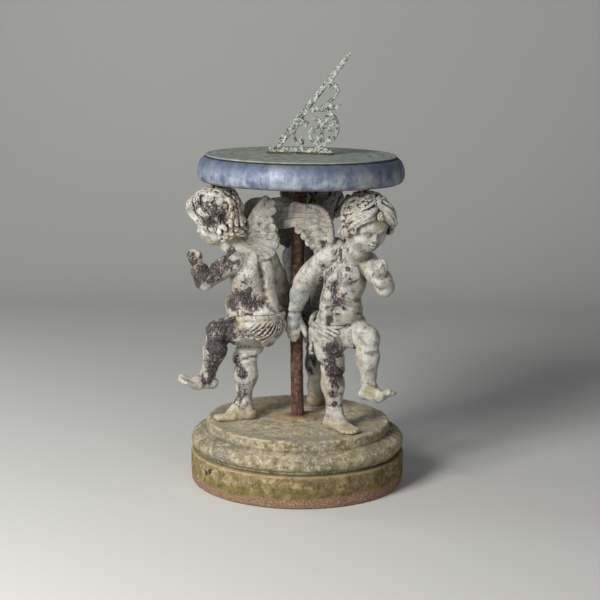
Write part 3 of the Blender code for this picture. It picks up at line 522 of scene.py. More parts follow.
# =============================================================== putto: trunk and standing leg
# Right toes: root, tip, root radius, tip radius, blend, radius of the tip's ball
RIGHT_TOES = (
    ((164, 35, 160), (193, 40, 157.5), 9.5, 7.6, 3.0, 6.4),
    ((166, 28, 160), (199, 30.5, 156.5), 7.6, 6.0, 2.4, 5.3),
    ((166, 22, 160), (199, 21.5, 156.2), 7.3, 5.7, 2.4, 5.0),
    ((164, 16.5, 159), (194.5, 13.5, 156), 7.0, 5.4, 2.4, 4.8),
    ((160, 11.5, 158), (186, 6.5, 155.6), 6.8, 5.2, 2.4, 4.6),
)
body_items = [
    oval(PELVIS, (47, 53, 44), turned_axes(-31), 14),
    oval(RUMP, (45, 45, 42), turned_axes(-31), 14),
    ball(rump(-7, 20, -16), 33, 9),
    ball(rump(-7, -21, -16), 33, 9),
    oval(BELLY, (48, 49, 49), turned_axes(-38), 14),
    oval(belly(10, 0, -4), (42, 44, 40), turned_axes(-43), 10),
    oval(CHEST, (45.5, 50.5, 57), turned_axes(-45), 12),
    cone(CHEST + (-4, 0, 20), BELLY + (-8, 4, 0), 37, 45, 12),
    cone(SHOULDER_R + (7, 5, -4), SHOULDER_L + (-5, -4, -2), 23.5, 22.5, 10),
    cone((126, 60, 546), NECK, 29, 24.5, 12),
    # breasts and shoulder blades
    oval(chest(27, -20, 14), (20, 26, 22), turned_axes(-60), 9),
    oval(chest(27, 21, 12), (20, 25, 22), turned_axes(-46), 9),
    oval(chest(-30, -21, 14), (20, 22, 30), turned_axes(-53), 10),
    oval(chest(-30, 21, 14), (20, 22, 30), turned_axes(-53), 10),
    cone((112, 46, 566), NECK + (-6, -4, -6), 16, 14, 14),
    cone((148, 78, 560), NECK + (-4, 8, -6), 15, 14, 14),
    cone((104, 55, 540), (93, 47, 452), 29, 40, 14),
    # rolls of a plump waist
    oval(belly(0, -30) + (-4, 4, -6), (26, 20, 20), turned_axes(-43), 9),
    oval(belly(0, 30) + (-4, 4, -6), (26, 20, 20), turned_axes(-43), 9),
    # thigh and knee
    cone(HIP_R, KNEE_R + (-2, 0, 8), 39.5, 28, 12),
    oval(HIP_R + (14, -2, -34), (35, 34, 42), turned_axes(0, -16), 10),
    ball(KNEE_R + (0, 0, 2), 26, 8),
    oval(KNEE_R + (17, -1, 3), (12, 15, 15), UPRIGHT, 7),
    # calf and ankle
    cone(KNEE_R + (-1, 0, -6), (130, 15, 256), 25.5, 26.5, 8),
    oval((121, 15, 262), (23, 24.5, 34), turned_axes(0, -4), 9),
    cone((130.5, 15, 256), ANKLE_R, 25.5, 17.5, 10),
    cone(ANKLE_R, (122, 16, 168), 18, 17, 8),
    ball(ANKLE_R + (-1, 16.5, -5), 5.5, 7),
    ball(ANKLE_R + (-1, -16, -8), 5.5, 7),
    # foot
    cone(ANKLE_R + (2, 0, -4), (161, 23, 165), 16, 14, 9),
    cone((118, 15, 165), (160, 27, 161), 16.5, 14, 8),
    cone((120, 12, 163), (160, 16, 160), 13, 11, 7),
    cone((160, 33, 160), (172, 36, 159), 11.5, 9.5, 6),
]
body_items += [cone(*toe[:5]) for toe in RIGHT_TOES]
body_items += [ball(np.add(toe[1], (0.8, 0, 1.2)), toe[5], 1.5) for toe in RIGHT_TOES]

flesh = list(body_items)
navel = snap(flesh, [belly(60, 0, -1)], 8)[0]
body_items += grooves(flesh, [
    # spine
    ([(118, 40, 590), chest(-62, 0, 40) + (2, 2, 0), chest(-60, 0),
      belly(-62, 0) + (-4, 3, 10), rump(-58, 0, 14)], [2, 3.4, 3.4, 3.0, 2.2], 9, 14),
    # cleft of the buttocks
    ([rump(-62, 0, 6), rump(-62, 0, -18), rump(-44, 0, -46)], [2, 4, 4.5], 7, 8),
    # under the belly, hip to hip
    ([pelvis(0, -66) + (6, -4, 24), pelvis(44, -40, 14), pelvis(66, 0, 8),
      pelvis(46, 40, 15), pelvis(0, 64) + (4, 0, 25)], [1.5, 3.0, 3.4, 3.0, 1.5], 7, 15),
    # above the belly
    ([belly(0, -62) + (-6, 6, 26), belly(34, -44, 30), belly(60, 0, 36),
      belly(34, 44, 30), belly(0, 62) + (-6, 6, 24)], [1.4, 2.4, 2.0, 2.4, 1.4], 9, 15),
    # side rolls
    ([belly(-26, -60, 2), belly(0, -62, -8), belly(34, -50, -2)], [1.2, 2.4, 1.2], 6, 9),
    ([belly(-26, 60, 2), belly(0, 62, -8), belly(34, 50, -2)], [1.2, 2.4, 1.2], 6, 9),
    # between and under the breasts
    ([chest(60, 0, 34), chest(60, 0, 4), chest(60, 0, -16)], [1.5, 2.6, 1.5], 8, 7),
    ([chest(50, -4, -6), chest(50, -24, -11), chest(34, -46, 2)], [1.6, 2.6, 1.4], 7, 8),
    ([chest(50, 4, -6), chest(50, 24, -11), chest(34, 46, 2)], [1.6, 2.6, 1.4], 7, 8),
    # pit of the throat
    ([neck(30, -6) + (-10, -2, -26), neck(34, 0) + (-14, -2, -34),
      neck(30, 12) + (-8, 2, -26)], [1.5, 2.5, 1.5], 6, 6),
])
body_items.append(ball(navel + BELLY_FRONT, 4.2, 3.0, True))
body_items += grooves(flesh, [
    # neck
    ([neck(0, -30, -6), neck(30, 0, -4), neck(0, 30, -6)], [1.2, 2.2, 1.2], 6, 9),
    # thigh, above the knee and below it
    (arc((124, 13), 48, -60, 190, 333, 326, 9), [0.8, 1.8, 1.8, 0.8], 9, 12),
    (arc((131, 13), 40, 60, 300, 305, 306, 9), [0.8, 2.2, 2.2, 0.8], 8, 12),
    (arc((131, 14), 38, -75, 75, 282, 281, 7), [0.6, 1.4, 0.6], 8, 8),
    # ankle
    (arc((133, 18), 30, -100, 80, 210, 212, 7), [0.8, 2.2, 0.8], 5, 8),
    ([(106, 2, 176), (100, 15, 180), (106, 30, 178)], [0.8, 2.0, 0.8], 5, 6),
])
for way in (-1, 1):
    body_items.append(ball(snap(flesh, [chest(56, way * 23, 10)], 8)[0], 2.4, 2.4))
navel_brim = [navel + BELLY_FRONT * 3 + UP * 5.2 + BELLY_LEFT * o for o in (-4.0, 0.0, 4.0)]
body_items += chain(snap(flesh, navel_brim, 5), 2.2, 3.0)

# =============================================================== putto: raised left leg
leg_items = [
    cone(HIP_L + (-8, -4, 0), KNEE_L + (-4, 0, 1), 38.5, 29.5, 12),
    oval(HIP_L + (24, 4, -4), (40, 36, 35), turned_axes(9, 4), 10),
    ball(KNEE_L + (1, 0, -1), 27.5, 8),
    oval(KNEE_L + (19, -1, 4), (13, 16, 16), UPRIGHT, 7),
    cone(KNEE_L + (0, 0, -8), (203, 62, 335), 26.5, 26.0, 8),
    oval((195, 62, 334), (22.5, 25, 36), turned_axes(0, -13), 9),
    cone((203, 62, 335), ANKLE_L, 25.5, 16.5, 10),
    cone(ANKLE_L, HEEL_L + (1, 0, 1), 16.5, 14.5, 8),
    ball(ANKLE_L + (-2, 15, -5), 5.2, 7),
    ball(ANKLE_L + (0, -15, -4), 5.2, 7),
    cone(HEEL_L, (247, 63, 247), 14.2, 12.5, 8),
    cone(ANKLE_L + (2, 0, -2), (246, 63, 253), 14.5, 12.5, 9),
    cone((240, 60, 248), (258, 64, 252), 11.5, 9.5, 7),
    cone((240, 68, 248), (256, 74, 251), 10.5, 8.5, 7),
]
# Left toes: root, tip, root radius, tip radius
LEFT_TOES = (
    ((254, 61, 252), (281, 66, 265), 8.8, 7.3),
    ((256, 67, 252), (284, 74, 262.5), 7.2, 5.7),
    ((255, 72, 252), (281, 81, 260.5), 6.9, 5.4),
    ((253, 76, 251), (276, 87, 259), 6.6, 5.1),
    ((249, 79, 250), (269, 91.5, 257.5), 6.3, 4.9),
)
for root, tip, root_radius, tip_radius in LEFT_TOES:
    leg_items.append(cone(root, tip, root_radius, tip_radius, 2.3))
    leg_items.append(ball(np.add(tip, (0.8, 0.3, 1.4)), tip_radius - 0.5, 1.5))
leg_items += grooves(list(leg_items), [
    ([(172, 100, 398), (174, 108, 378), (174, 98, 352), (170, 66, 340)],
     [0.8, 1.8, 1.8, 1.0], 9, 10),
    ([(170, 66, 340), (176, 30, 352), (176, 24, 376), (172, 30, 398)],
     [1.0, 1.8, 1.8, 0.8], 9, 10),
    ([(226, 90, 352), (236, 64, 349), (226, 40, 352)], [0.8, 1.8, 0.8], 8, 8),
    ([(176, 90, 352), (166, 64, 350), (178, 38, 352)], [1.2, 3.0, 1.2], 6, 8),
    ([(222, 84, 282), (246, 62, 276), (228, 36, 280)], [0.8, 2.4, 0.8], 5, 8),
    ([(206, 76, 262), (194, 54, 262), (204, 34, 264)], [0.8, 2.0, 0.8], 5, 6),
])

# =============================================================== putto: left arm and its fist
FOREARM_L = ELBOW_L + (FIST_L - ELBOW_L) * 0.42
PALM_AIM = vec(-51, -3, 48)
fist_up = unit(FIST_L - ELBOW_L)
palm = unit(PALM_AIM - fist_up * float(PALM_AIM @ fist_up))
across = np.cross(fist_up, palm)
fist = frame_of(FIST_L, fist_up, palm, across)
left_arm_items = [
    cone(SHOULDER_L, ELBOW_L + (-3, 0, 2), 25, 21, 10),
    oval(SHOULDER_L + (ELBOW_L - SHOULDER_L) * 0.42 + UP, (30, 24, 23), turned_axes(1, 36), 9),
    ball(ELBOW_L, 20.5, 7),
    cone(ELBOW_L, FOREARM_L, 20.5, 20.5, 7),
    cone(FOREARM_L, fist(-15, 0), 20.0, 14.5, 8),
    oval(fist(-1, -2), (14.5, 13.0, 15.5), np.array([palm, fist_up, across]), 6),
]
for j in range(4):
    side, rise = (j - 1.5) * 7.4, -1.2 * abs(j - 1.2)
    finger = ((1, -11), (13, -8), (15.5, 3), (6, 12), (-2, 7))
    left_arm_items += tube(
        [fist(rise + up, palmward, side) for up, palmward in finger],
        [4.4, 5.4, 5.0, 4.8, 4.2], 9, 1.6,
    )
thumb = [fist(-9, 3, -12), fist(0, 12, -11), fist(8, 14.5, -3)]
left_arm_items += tube(thumb, [6.0, 5.8, 4.8], 7, 1.8)
left_arm_items += grooves(list(left_arm_items), [
    ([ELBOW_L + (-10, -30, 22), ELBOW_L + (-22, -6, 24), ELBOW_L + (-6, 22, 20)],
     [1.0, 3.0, 1.0], 6, 8),
    ([fist(-17, 24), fist(-17, 0, 24), fist(-17, -24), fist(-17, 0, -24), fist(-17, 24)],
     [2.2, 2.2], 4.5, 16),
    ([SHOULDER_L + (20, 30, 10), SHOULDER_L + (26, 6, 28), SHOULDER_L + (20, -22, 12)],
     [0.8, 2.0, 0.8], 7, 8),
])

# =============================================================== putto: right arm and hand
UPPER_ARM_R = ELBOW_R - SHOULDER_R
FOREARM_R = ELBOW_R + (WRIST_R - ELBOW_R) * 0.38
THUMBWARD = vec(0.545, 0.839, 0.0)
PALMWARD = vec(-0.839, 0.545, 0.0)
hand_at = frame_of(HAND_R, THUMBWARD, PALMWARD, UP)
wrist_at = frame_of(WRIST_R, THUMBWARD, PALMWARD, UP)
arm_axis = unit(UPPER_ARM_R)
arm_side = unit(np.cross(arm_axis, UP))
arm_axes = np.array([arm_axis, arm_side, unit(np.cross(arm_axis, arm_side))])
right_arm_items = [
    cone(SHOULDER_R, ELBOW_R + (4, 4, 4), 25.5, 23.5, 10),
    ball(SHOULDER_R + (-7, -12, 6), 28.5, 9),
    cone(SHOULDER_R + (-7, -12, 6), ELBOW_R + (6, 7, 12), 27.5, 23.5, 9),
    oval(SHOULDER_R + UPPER_ARM_R * 0.40 + (0, -3, 2), (36, 27.5, 27.5), arm_axes, 9),
    ball(ELBOW_R, 21.5, 7),
    cone(ELBOW_R + (-1, 0, -4), FOREARM_R, 21.5, 22.0, 7),
    cone(FOREARM_R, WRIST_R, 21.5, 15.5, 9),
    cone(WRIST_R, HAND_R + (0, 0, 6), 14.5, 13.0, 6),
    oval(HAND_R + (0.5, -0.5, 10), (21, 10.5, 21), np.array([THUMBWARD, PALMWARD, UP]), 5),
]
# Fingers: offset toward the thumb, height of the tip, radius
for offset, tip_z, radius in (
    (-15.0, 357.0, 5.9), (-5.2, 351.0, 6.3), (4.4, 350.0, 6.3), (13.4, 356.0, 6.0),
):
    root = hand_at(offset, 0, 5)
    tip = vec(18.5, -26, tip_z) + THUMBWARD * offset * 0.62 + PALMWARD
    mid = root * 0.45 + tip * 0.55 - PALMWARD * 3.0
    right_arm_items += tube([root, mid, tip], [radius + 1.0, radius + 0.3, radius - 0.9], 6, 2.0)
thumb = [hand_at(9, 0, 16), hand_at(19, 1, 2), (42.0, -11.0, 374), (44.5, -8.0, 362)]
right_arm_items += tube(thumb, [8.5, 7.6, 6.2, 4.8], 8, 3.0)
fold_at = SHOULDER_R + UPPER_ARM_R * 0.72
right_arm_items += grooves(list(right_arm_items), [
    ([ELBOW_R + (26, -14, 6), ELBOW_R + (14, -30, 4), ELBOW_R + (-12, -26, 2)],
     [1.0, 3.0, 1.0], 6, 8),
    ([wrist_at(22, 0, 3), wrist_at(0, -22, 2), wrist_at(-22, 0, 3), wrist_at(0, 22, 4),
      wrist_at(22, 0, 3)], [2.2, 2.2], 4.5, 16),
    ([fold_at + (26, -20, 10), fold_at + (-6, -30, 6), fold_at + (-26, -4, 4)],
     [0.8, 2.0, 0.8], 7, 8),
])
right_arm_items += tube(
    [(113, 30, 588), (107, 17, 573), (91, 1, 547), (70, -18, 519), (57, -30, 491)],
    [18.5, 22.5, 23.5, 23, 21], 14, 4,
)
# the cut between arm and chest
armpit = tube(
    [(128, 36, 592), (134, 29, 579), (134, 25, 563), (133, 11, 543), (127, 1, 528),
     (114, -3, 514), (100, 0, 500), (92, 8, 480)],
    [1.8, 3.4, 4.4, 5.4, 6.2, 6.8, 7.0, 6.0], 26, 2.2, True,
)
armpit += tube(
    [(128, 20, 588), (130, 16, 572), (126, 6, 553), (117, -4, 536), (104, -9, 519)],
    [0.8, 1.6, 1.9, 1.9, 1.2], 18, 1.6, True,
)
right_arm_items += armpit
body_items += armpit

# =============================================================== putto: head and face
PITCH, LOOK = math.radians(22.0), math.radians(-8.0)
FACE_FRONT = vec(
    math.cos(PITCH) * math.cos(LOOK), math.cos(PITCH) * math.sin(LOOK), -math.sin(PITCH)
)
FACE_SIDE = vec(-math.sin(LOOK), math.cos(LOOK), 0.0)
FACE_UP = np.cross(FACE_FRONT, FACE_SIDE)
FACE_AXES = np.array([FACE_FRONT, FACE_SIDE, FACE_UP])
on_head = frame_of(HEAD, FACE_FRONT, FACE_SIDE, FACE_UP)
SKULL = on_head(-4, 0, 8)
SKULL_RADII = (53.5, 53, 54.5)
MOUTH = -36.6  # height of the mouth from the head's centre

head_items = [
    oval(SKULL, SKULL_RADII, FACE_AXES, 8),
    oval(on_head(13, 0, -24), (38.5, 39.0, 38.5), FACE_AXES, 14),
    oval(on_head(26, 0, -47), (15.5, 17, 13.0), FACE_AXES, 14),
    ball(on_head(36.0, 0, -51), 9.5, 8),
    # cheeks and jaw
    ball(on_head(27, 20, -31), 17.5, 9),
    ball(on_head(27, -20, -31), 17.5, 9),
    cone(on_head(2, 26, -44), on_head(26, 12, -50), 13, 11, 12),
    cone(on_head(2, -26, -44), on_head(26, -12, -50), 13, 11, 12),
    # forehead and neck
    oval(on_head(30, 0, 6), (22, 34, 18), FACE_AXES, 12),
    cone(NECK + (2, 0, -8), HEAD + (-2, 0, -22), 24.0, 29, 12),
    # eye sockets
    oval(on_head(53.5, -16.2, -10.5), (8.5, 10.0, 7.2), FACE_AXES, 5.0, True),
    oval(on_head(53.5, 16.2, -10.5), (8.5, 10.0, 7.2), FACE_AXES, 5.0, True),
    # nose and nostrils
    cone(on_head(46.5, 0, -7), on_head(53.0, 0, -20), 4.0, 5.0, 5.0),
    ball(on_head(54.6, 0, -22.0), 4.9, 3.5),
    ball(on_head(50.2, 5.2, -23.0), 3.5, 2.4),
    ball(on_head(50.2, -5.2, -23.0), 3.5, 2.4),
    ball(on_head(52.5, 2.7, -26.3), 1.5, 1.2, True),
    ball(on_head(52.5, -2.7, -26.3), 1.5, 1.2, True),
]


def add_to_face(points, radii, count, blend, cut=False, way=1):
    """A tube on the head, through points of (front, side, up); way -1 mirrors it."""
    path = [on_head(front, side * way, up) for front, side, up in points]
    head_items.extend(tube(path, radii, count, blend, cut))


for way in (-1, 1):
    # eyeball, upper lid, lower lid and brow
    head_items.append(ball(on_head(40.6, 16.0 * way, -10.6), 8.0, 1.4))
    add_to_face(
        [(46.9, 8.6, -11.8), (49.2, 12.8, -7.7), (48.8, 17.6, -6.9), (45.4, 23.0, -10.6)],
        [0.9, 1.8, 1.8, 0.9], 7, 1.2, way=way,
    )
    add_to_face(
        [(46.9, 8.8, -12.2), (48.4, 13.4, -15.0), (47.8, 18.0, -15.0), (45.2, 22.8, -11.4)],
        [0.7, 1.2, 1.2, 0.7], 7, 1.4, way=way,
    )
    add_to_face(
        [(49.5, 6.5, -2.0), (50.0, 14.0, 1.6), (44.5, 24.5, -1.5)],
        [1.6, 2.4, 1.4], 6, 5.0, way=way,
    )
head_items.append(oval(on_head(47.0, 0, MOUTH + 0.5), (7.5, 12.0, 8.5), FACE_AXES, 7.0))
# upper lip, lower lip and the line between them
add_to_face(
    [(47.6, -9.6, MOUTH - 0.2), (52.3, -4.2, MOUTH + 2.4), (53.0, 0, MOUTH + 1.6),
     (52.3, 4.2, MOUTH + 2.4), (47.6, 9.6, MOUTH - 0.2)],
    [1.2, 2.2, 2.3, 2.2, 1.2], 11, 1.6,
)
add_to_face(
    [(48.0, -7.6, MOUTH - 1.6), (51.8, -3.4, MOUTH - 3.8), (52.2, 0, MOUTH - 4.1),
     (51.8, 3.4, MOUTH - 3.8), (48.0, 7.6, MOUTH - 1.6)],
    [1.2, 2.5, 2.7, 2.5, 1.2], 11, 1.8,
)
add_to_face(
    [(48.5, -9.8, MOUTH - 0.4), (54.8, 0, MOUTH - 0.9), (48.5, 9.8, MOUTH - 0.4)],
    [0.6, 0.9, 0.6], 9, 1.2, True,
)
for way in (1, -1):
    head_items.append(ball(on_head(49.5, 10.8 * way, MOUTH - 0.2), 1.5, 4.0, True))
# hollow under the lower lip, and the one under the nose
add_to_face(
    [(51.6, -4.5, MOUTH - 8.6), (53.0, 0, MOUTH - 9.4), (51.6, 4.5, MOUTH - 8.6)],
    [1.0, 1.8, 1.0], 5, 5.0, True,
)
add_to_face([(55.5, 0, MOUTH + 5.4), (54.8, 0, MOUTH + 8.6)], [1.0, 1.0], 3, 2.4, True)
for way in (-1, 1):
    # ear
    add_to_face(
        [(-1, 50, -12), (-5, 55, -9), (-8, 54.5, -17), (-4, 50.5, -26), (0, 47.5, -30)],
        [3.2, 3.6, 3.6, 3.8, 4.4], 10, 2.2, way=way,
    )

# =============================================================== putto: hair
rng = np.random.default_rng(5)
hair_items, hair_cuts = [], []


def lock(points, radii, count, strands, blend):
    """A big lock with strands cut along it, through points of (front, side, up)."""
    path = smooth_path([on_head(*point) for point in points], count)
    width = spread(radii, count)
    hair_items.extend(chain(path, width, blend))
    along = np.gradient(path, axis=0)
    along /= np.linalg.norm(along, axis=1, keepdims=True)
    out = path - SKULL
    out -= along * (out * along).sum(1, keepdims=True)
    out /= np.linalg.norm(out, axis=1, keepdims=True)
    over = np.cross(along, out)
    for j in range(strands):
        wave = np.sin(np.linspace(0, 5.2, count) + j * 1.9 + radii[1])
        sway = (j - (strands - 1) / 2) * 0.95 + 0.42 * wave
        rim = out * np.cos(sway)[:, None] + over * np.sin(sway)[:, None]
        rim = path + rim * width[:, None]
        hair_cuts.extend(chain(rim, np.minimum(width * 0.24, 1.95), 1.2, True))


def snail(place, out, size, hand):
    """A small curl wound up round a point of the head."""
    normal = unit(FACE_FRONT * out[0] + FACE_SIDE * out[1] + FACE_UP * out[2])
    sideways = abs(float(normal @ FACE_SIDE)) >= 0.8
    first = unit(np.cross(normal, FACE_FRONT if sideways else FACE_SIDE))
    second = np.cross(normal, first)
    path, width = [], []
    for j in range(11):
        t = j / 10.0
        turn = hand * t * 8.6
        reach = (8.4 - 6.6 * t) * size
        ring = (first * math.cos(turn) + second * math.sin(turn)) * reach
        path.append(on_head(*place) + ring + normal * (1.0 + 5.2 * t) * size)
        width.append((4.3 - 1.0 * t) * size)
    hair_items.extend(chain(path, width, 0.9))
    rim = np.array(path) + normal * (np.array(width) * 0.95)[:, None]
    hair_cuts.extend(chain(rim, 0.9, 0.8, True))


# Locks over the brow and temples: points, radii, point count, strands, blend
for row in (
    ([(22, 0, 53), (34, 9, 52), (44, 20, 46), (46, 33, 35), (42, 43, 20), (35, 49, 4),
      (27, 51, -10)], [7, 9.5, 11.5, 11.5, 10.5, 8.5, 5], 15, 5, 1.0),
    ([(36, 4, 46), (46, 9, 40), (49, 20, 33), (46, 31, 23), (40, 40, 10)],
     [5, 7, 7.5, 7, 4.5], 11, 4, 0.9),
    ([(14, 8, 57), (22, 24, 52), (26, 40, 38), (22, 51, 22), (12, 56, 6)],
     [6, 9, 10, 9.5, 6], 12, 4, 1.0),
    ([(30, -2, 50), (40, -12, 46), (44, -24, 38), (41, -36, 27), (34, -45, 14),
      (27, -50, 0), (20, -52, -13)], [6, 9.5, 11.5, 11.5, 10.5, 9, 5.5], 15, 5, 1.0),
    ([(40, -4, 43), (47, -12, 35), (45, -24, 28), (38, -36, 18)],
     [4.5, 6.5, 7, 4.5], 9, 4, 0.9),
    ([(18, -4, 55), (28, -20, 49), (27, -38, 36), (20, -50, 20), (10, -55, 6)],
     [6, 9, 10, 9.5, 6], 12, 4, 1.0),
    ([(10, 2, 60), (0, 16, 59), (-12, 30, 54)], [5, 7.5, 5], 8, 3, 1.0),
    ([(12, -2, 60), (2, -18, 58), (-10, -32, 52)], [5, 7.5, 5], 8, 3, 1.0),
):
    lock(*row)
# Snail curls: place, outward direction, size, which way they wind
for row in (
    ((50, 3, 37), (0.9, 0.1, 0.4), 0.95, 1), ((33, 48, 0), (0.6, 0.8, 0), 1.0, 1),
    ((24, 53, -14), (0.35, 0.95, -0.1), 1.0, -1), ((12, 56, -22), (0.1, 1, -0.2), 0.95, 1),
    ((30, -49, -4), (0.6, -0.8, 0), 1.0, -1), ((20, -54, -17), (0.3, -0.95, -0.1), 1.0, 1),
    ((8, -56, -24), (0.1, -1, -0.2), 0.95, -1), ((38, 36, 38), (0.6, 0.5, 0.6), 0.95, -1),
    ((37, -30, 41), (0.6, -0.5, 0.6), 0.95, 1), ((26, 34, 49), (0.4, 0.5, 0.75), 0.9, 1),
    ((26, -32, 49), (0.4, -0.5, 0.75), 0.9, -1),
):
    snail(*row)

# Rows of tufts round the nape and behind the ears: count, height, reach to the back and to
# the side, first angle and sweep in degrees
NAPE_ROWS = (
    (12, -27, 45.0, 48.5, -88.0, 192.0),
    (9, -40, 38.5, 41.0, -52.0, 156.0),
    (7, -52, 32.0, 34.0, -40.0, 144.0),
)
for row, (count, height, reach_back, reach_side, first, sweep) in enumerate(NAPE_ROWS):
    for k in range(count):
        turn = math.radians(first + sweep * (k + 0.5 * (row % 2)) / (count - 0.5))
        cosine, sine = math.cos(turn), math.sin(turn)
        normal = unit(-FACE_FRONT * cosine + FACE_SIDE * sine - FACE_UP * 0.15)
        side = np.cross(normal, FACE_UP)
        base = on_head(-6 - reach_back * cosine, reach_side * sine, height + rng.uniform(-6.0, 6.0))
        hand = 1 if rng.random() < 0.5 else -1
        grow = rng.uniform(0.9, 1.15)
        path, width = [], []
        for j in range(8):
            t = j / 7.0
            hook = max(0.0, t - 0.62) * 17.0
            fall = t * 25.0 - 10.0 - hook * 0.65
            swing = hand * (math.sin(t * 4.4 + row) * 5.4 + hook * 0.8)
            lift = 0.5 + 2.8 * t + hook * 0.45
            path.append(base - FACE_UP * fall + side * swing + normal * lift)
            width.append((3.4 + 3.4 * math.sin(min(t * 3.0, 2.7))) * grow)
        hair_items += chain(path, width, 0.9)
        rim = np.array(path) + normal * (np.array(width) * 0.97)[:, None]
        hair_cuts += chain(rim + side * 1.4, 0.9, 0.8, True)
        hair_cuts += chain(rim - side * 1.8, 0.8, 0.8, True)


def snail_with_tail(here, normal, first, second, size, hand):
    path, width = [here - first * 10 * size - normal], [2.6]
    for j in range(8):
        turn = hand * (j / 7.0) * 6.6
        reach = (6.6 - 5.2 * j / 7.0) * size
        ring = (-first * math.cos(turn) + second * math.sin(turn)) * reach
        path.append(here + ring + normal * (1.8 + 3.6 * j / 7.0))
        width.append((3.9 - 1.0 * j / 7.0) * size)
    return path, width


def s_tuft(here, normal, first, second, size, hand):
    path, width = [], []
    for j in range(8):
        t = j / 7.0
        bend = second * hand * math.sin(t * 5.4) * 3.8 * size
        lift = normal * (0.4 + 4.8 * math.sin(t * 2.9))
        path.append(here + first * (t - 0.5) * 25 * size + bend + lift)
        width.append((2.4 + 2.9 * math.sin(min(t * 3.3, 3.1))) * size)
    return path, width


# curls and tufts spread in a spiral over the crown and the back of the head
CURLS = 168
for i in range(CURLS):
    up = 1.0 - 1.86 * (i + 0.5) / CURLS
    turn = i * 2.399963 + rng.uniform(-0.12, 0.12)
    flat = math.sqrt(max(0.0, 1.0 - up * up))
    front, side = flat * math.cos(turn), flat * math.sin(turn)
    on_face = front > 0.30 and up < 0.80 or front > 0.05 and up < 0.30
    if on_face or front > -0.12 and up < -0.30 or up < -0.66:
        continue
    normal = unit(FACE_FRONT * front + FACE_SIDE * side + FACE_UP * up)
    here = SKULL + normal / math.sqrt((((FACE_AXES @ normal) / SKULL_RADII) ** 2).sum())
    down = -FACE_UP * 0.9 - FACE_FRONT * 0.35 + FACE_SIDE * 0.35 * math.copysign(1, side)
    down = unit(down)
    first = down - normal * float(down @ normal)
    if np.linalg.norm(first) < 0.2:
        first = np.cross(normal, FACE_SIDE)
    first = unit(first)
    swing = rng.uniform(-0.9, 0.9)
    second = np.cross(normal, first)
    cosine, sine = math.cos(swing), math.sin(swing)
    first, second = first * cosine + second * sine, second * cosine - first * sine
    size = rng.uniform(0.85, 1.2)
    hand = 1 if rng.random() < 0.5 else -1
    shape = snail_with_tail if rng.random() < 0.55 else s_tuft
    path, width = shape(here, normal, first, second, size, hand)
    hair_items += chain(path, width, 0.9)
    rim = np.array(path) + normal * (np.array(width) * 0.98)[:, None]
    hair_cuts += chain(rim[1:] + second * 0.6, 1.0, 0.9, True)

# =============================================================== putto: wings
# Feathers lie in the wing's own sheet (s out from the root, z up), which is then thickened.
SHEET_STEP = 0.5
SHEET_S, SHEET_Z = np.meshgrid(
    np.arange(-30.0, 166.0, SHEET_STEP), np.arange(535.0, 720.0, SHEET_STEP), indexing="ij"
)
# Feathers: root s, root z, tip s, tip z, half width, level. Later ones lie on top.
RIGHT_FEATHERS = (
    # primaries
    (30, 668, 112, 677, 11.5, 3.0), (28, 664, 140, 662, 13.0, 3.6),
    (26, 657, 151, 644, 13.0, 3.2), (24, 650, 133, 629, 12.0, 2.7),
    # secondaries
    (18, 640, 88, 618, 11.5, 3.0), (14, 628, 70, 603, 11.5, 2.6),
    (10, 614, 58, 588, 11.5, 2.3), (8, 602, 45, 578, 8.5, 2.0), (6, 588, 36, 566, 8.0, 1.8),
    # greater coverts
    (20, 666, 66, 668, 9.0, 3.8), (20, 658, 66, 655, 8.5, 3.9), (16, 648, 60, 640, 8.5, 3.8),
    (12, 636, 52, 625, 8.5, 3.6), (8, 622, 44, 610, 8.5, 3.4), (4, 608, 36, 596, 8.0, 3.2),
    (2, 594, 28, 580, 8.0, 3.0),
    # lesser coverts
    (12, 668, 42, 672, 8.0, 4.6), (10, 658, 42, 659, 8.0, 4.7), (8, 646, 38, 646, 8.0, 4.6),
    (4, 634, 32, 632, 8.0, 4.4), (0, 620, 26, 617, 8.0, 4.2), (-4, 606, 20, 602, 8.0, 4.0),
    (2, 662, 24, 668, 7.5, 5.2), (0, 650, 22, 654, 7.5, 5.2), (-4, 638, 18, 640, 7.5, 5.0),
    (-8, 624, 14, 625, 7.5, 4.8),
)
LEFT_FEATHERS = (
    # primaries, pointing up and out
    (14, 640, 52, 702, 8.5, 3.0), (16, 634, 71, 694, 9.5, 3.2), (18, 628, 75, 676, 9.5, 3.1),
    (18, 620, 69, 650, 9.0, 2.9),
    # secondaries
    (16, 612, 77, 631, 11.0, 3.2), (14, 602, 82, 609, 11.5, 3.0),
    (12, 594, 83, 588, 11.5, 2.6), (10, 586, 75, 567, 11.5, 2.4), (8, 578, 62, 558, 9.0, 2.1),
    (6, 570, 48, 551, 8.5, 1.9),
    # greater coverts
    (10, 642, 40, 684, 8.0, 3.8), (10, 634, 52, 672, 8.5, 4.0), (10, 626, 55, 654, 8.5, 3.9),
    (8, 616, 54, 634, 8.5, 3.8), (6, 604, 56, 614, 8.5, 3.7), (4, 594, 56, 596, 8.5, 3.6),
    (2, 584, 50, 577, 8.5, 3.4), (0, 574, 40, 563, 8.0, 3.1),
    # lesser coverts
    (4, 640, 28, 666, 7.5, 4.6), (2, 630, 34, 652, 8.0, 4.8), (2, 618, 34, 634, 8.0, 4.7),
    (0, 606, 34, 616, 8.0, 4.6), (-2, 594, 33, 599, 8.0, 4.4), (-4, 582, 30, 582, 8.0, 4.2),
    (4, 628, 22, 646, 7.0, 5.3), (2, 614, 22, 628, 7.5, 5.3), (0, 600, 20, 610, 7.5, 5.2),
    (-2, 588, 18, 594, 7.5, 5.0),
)
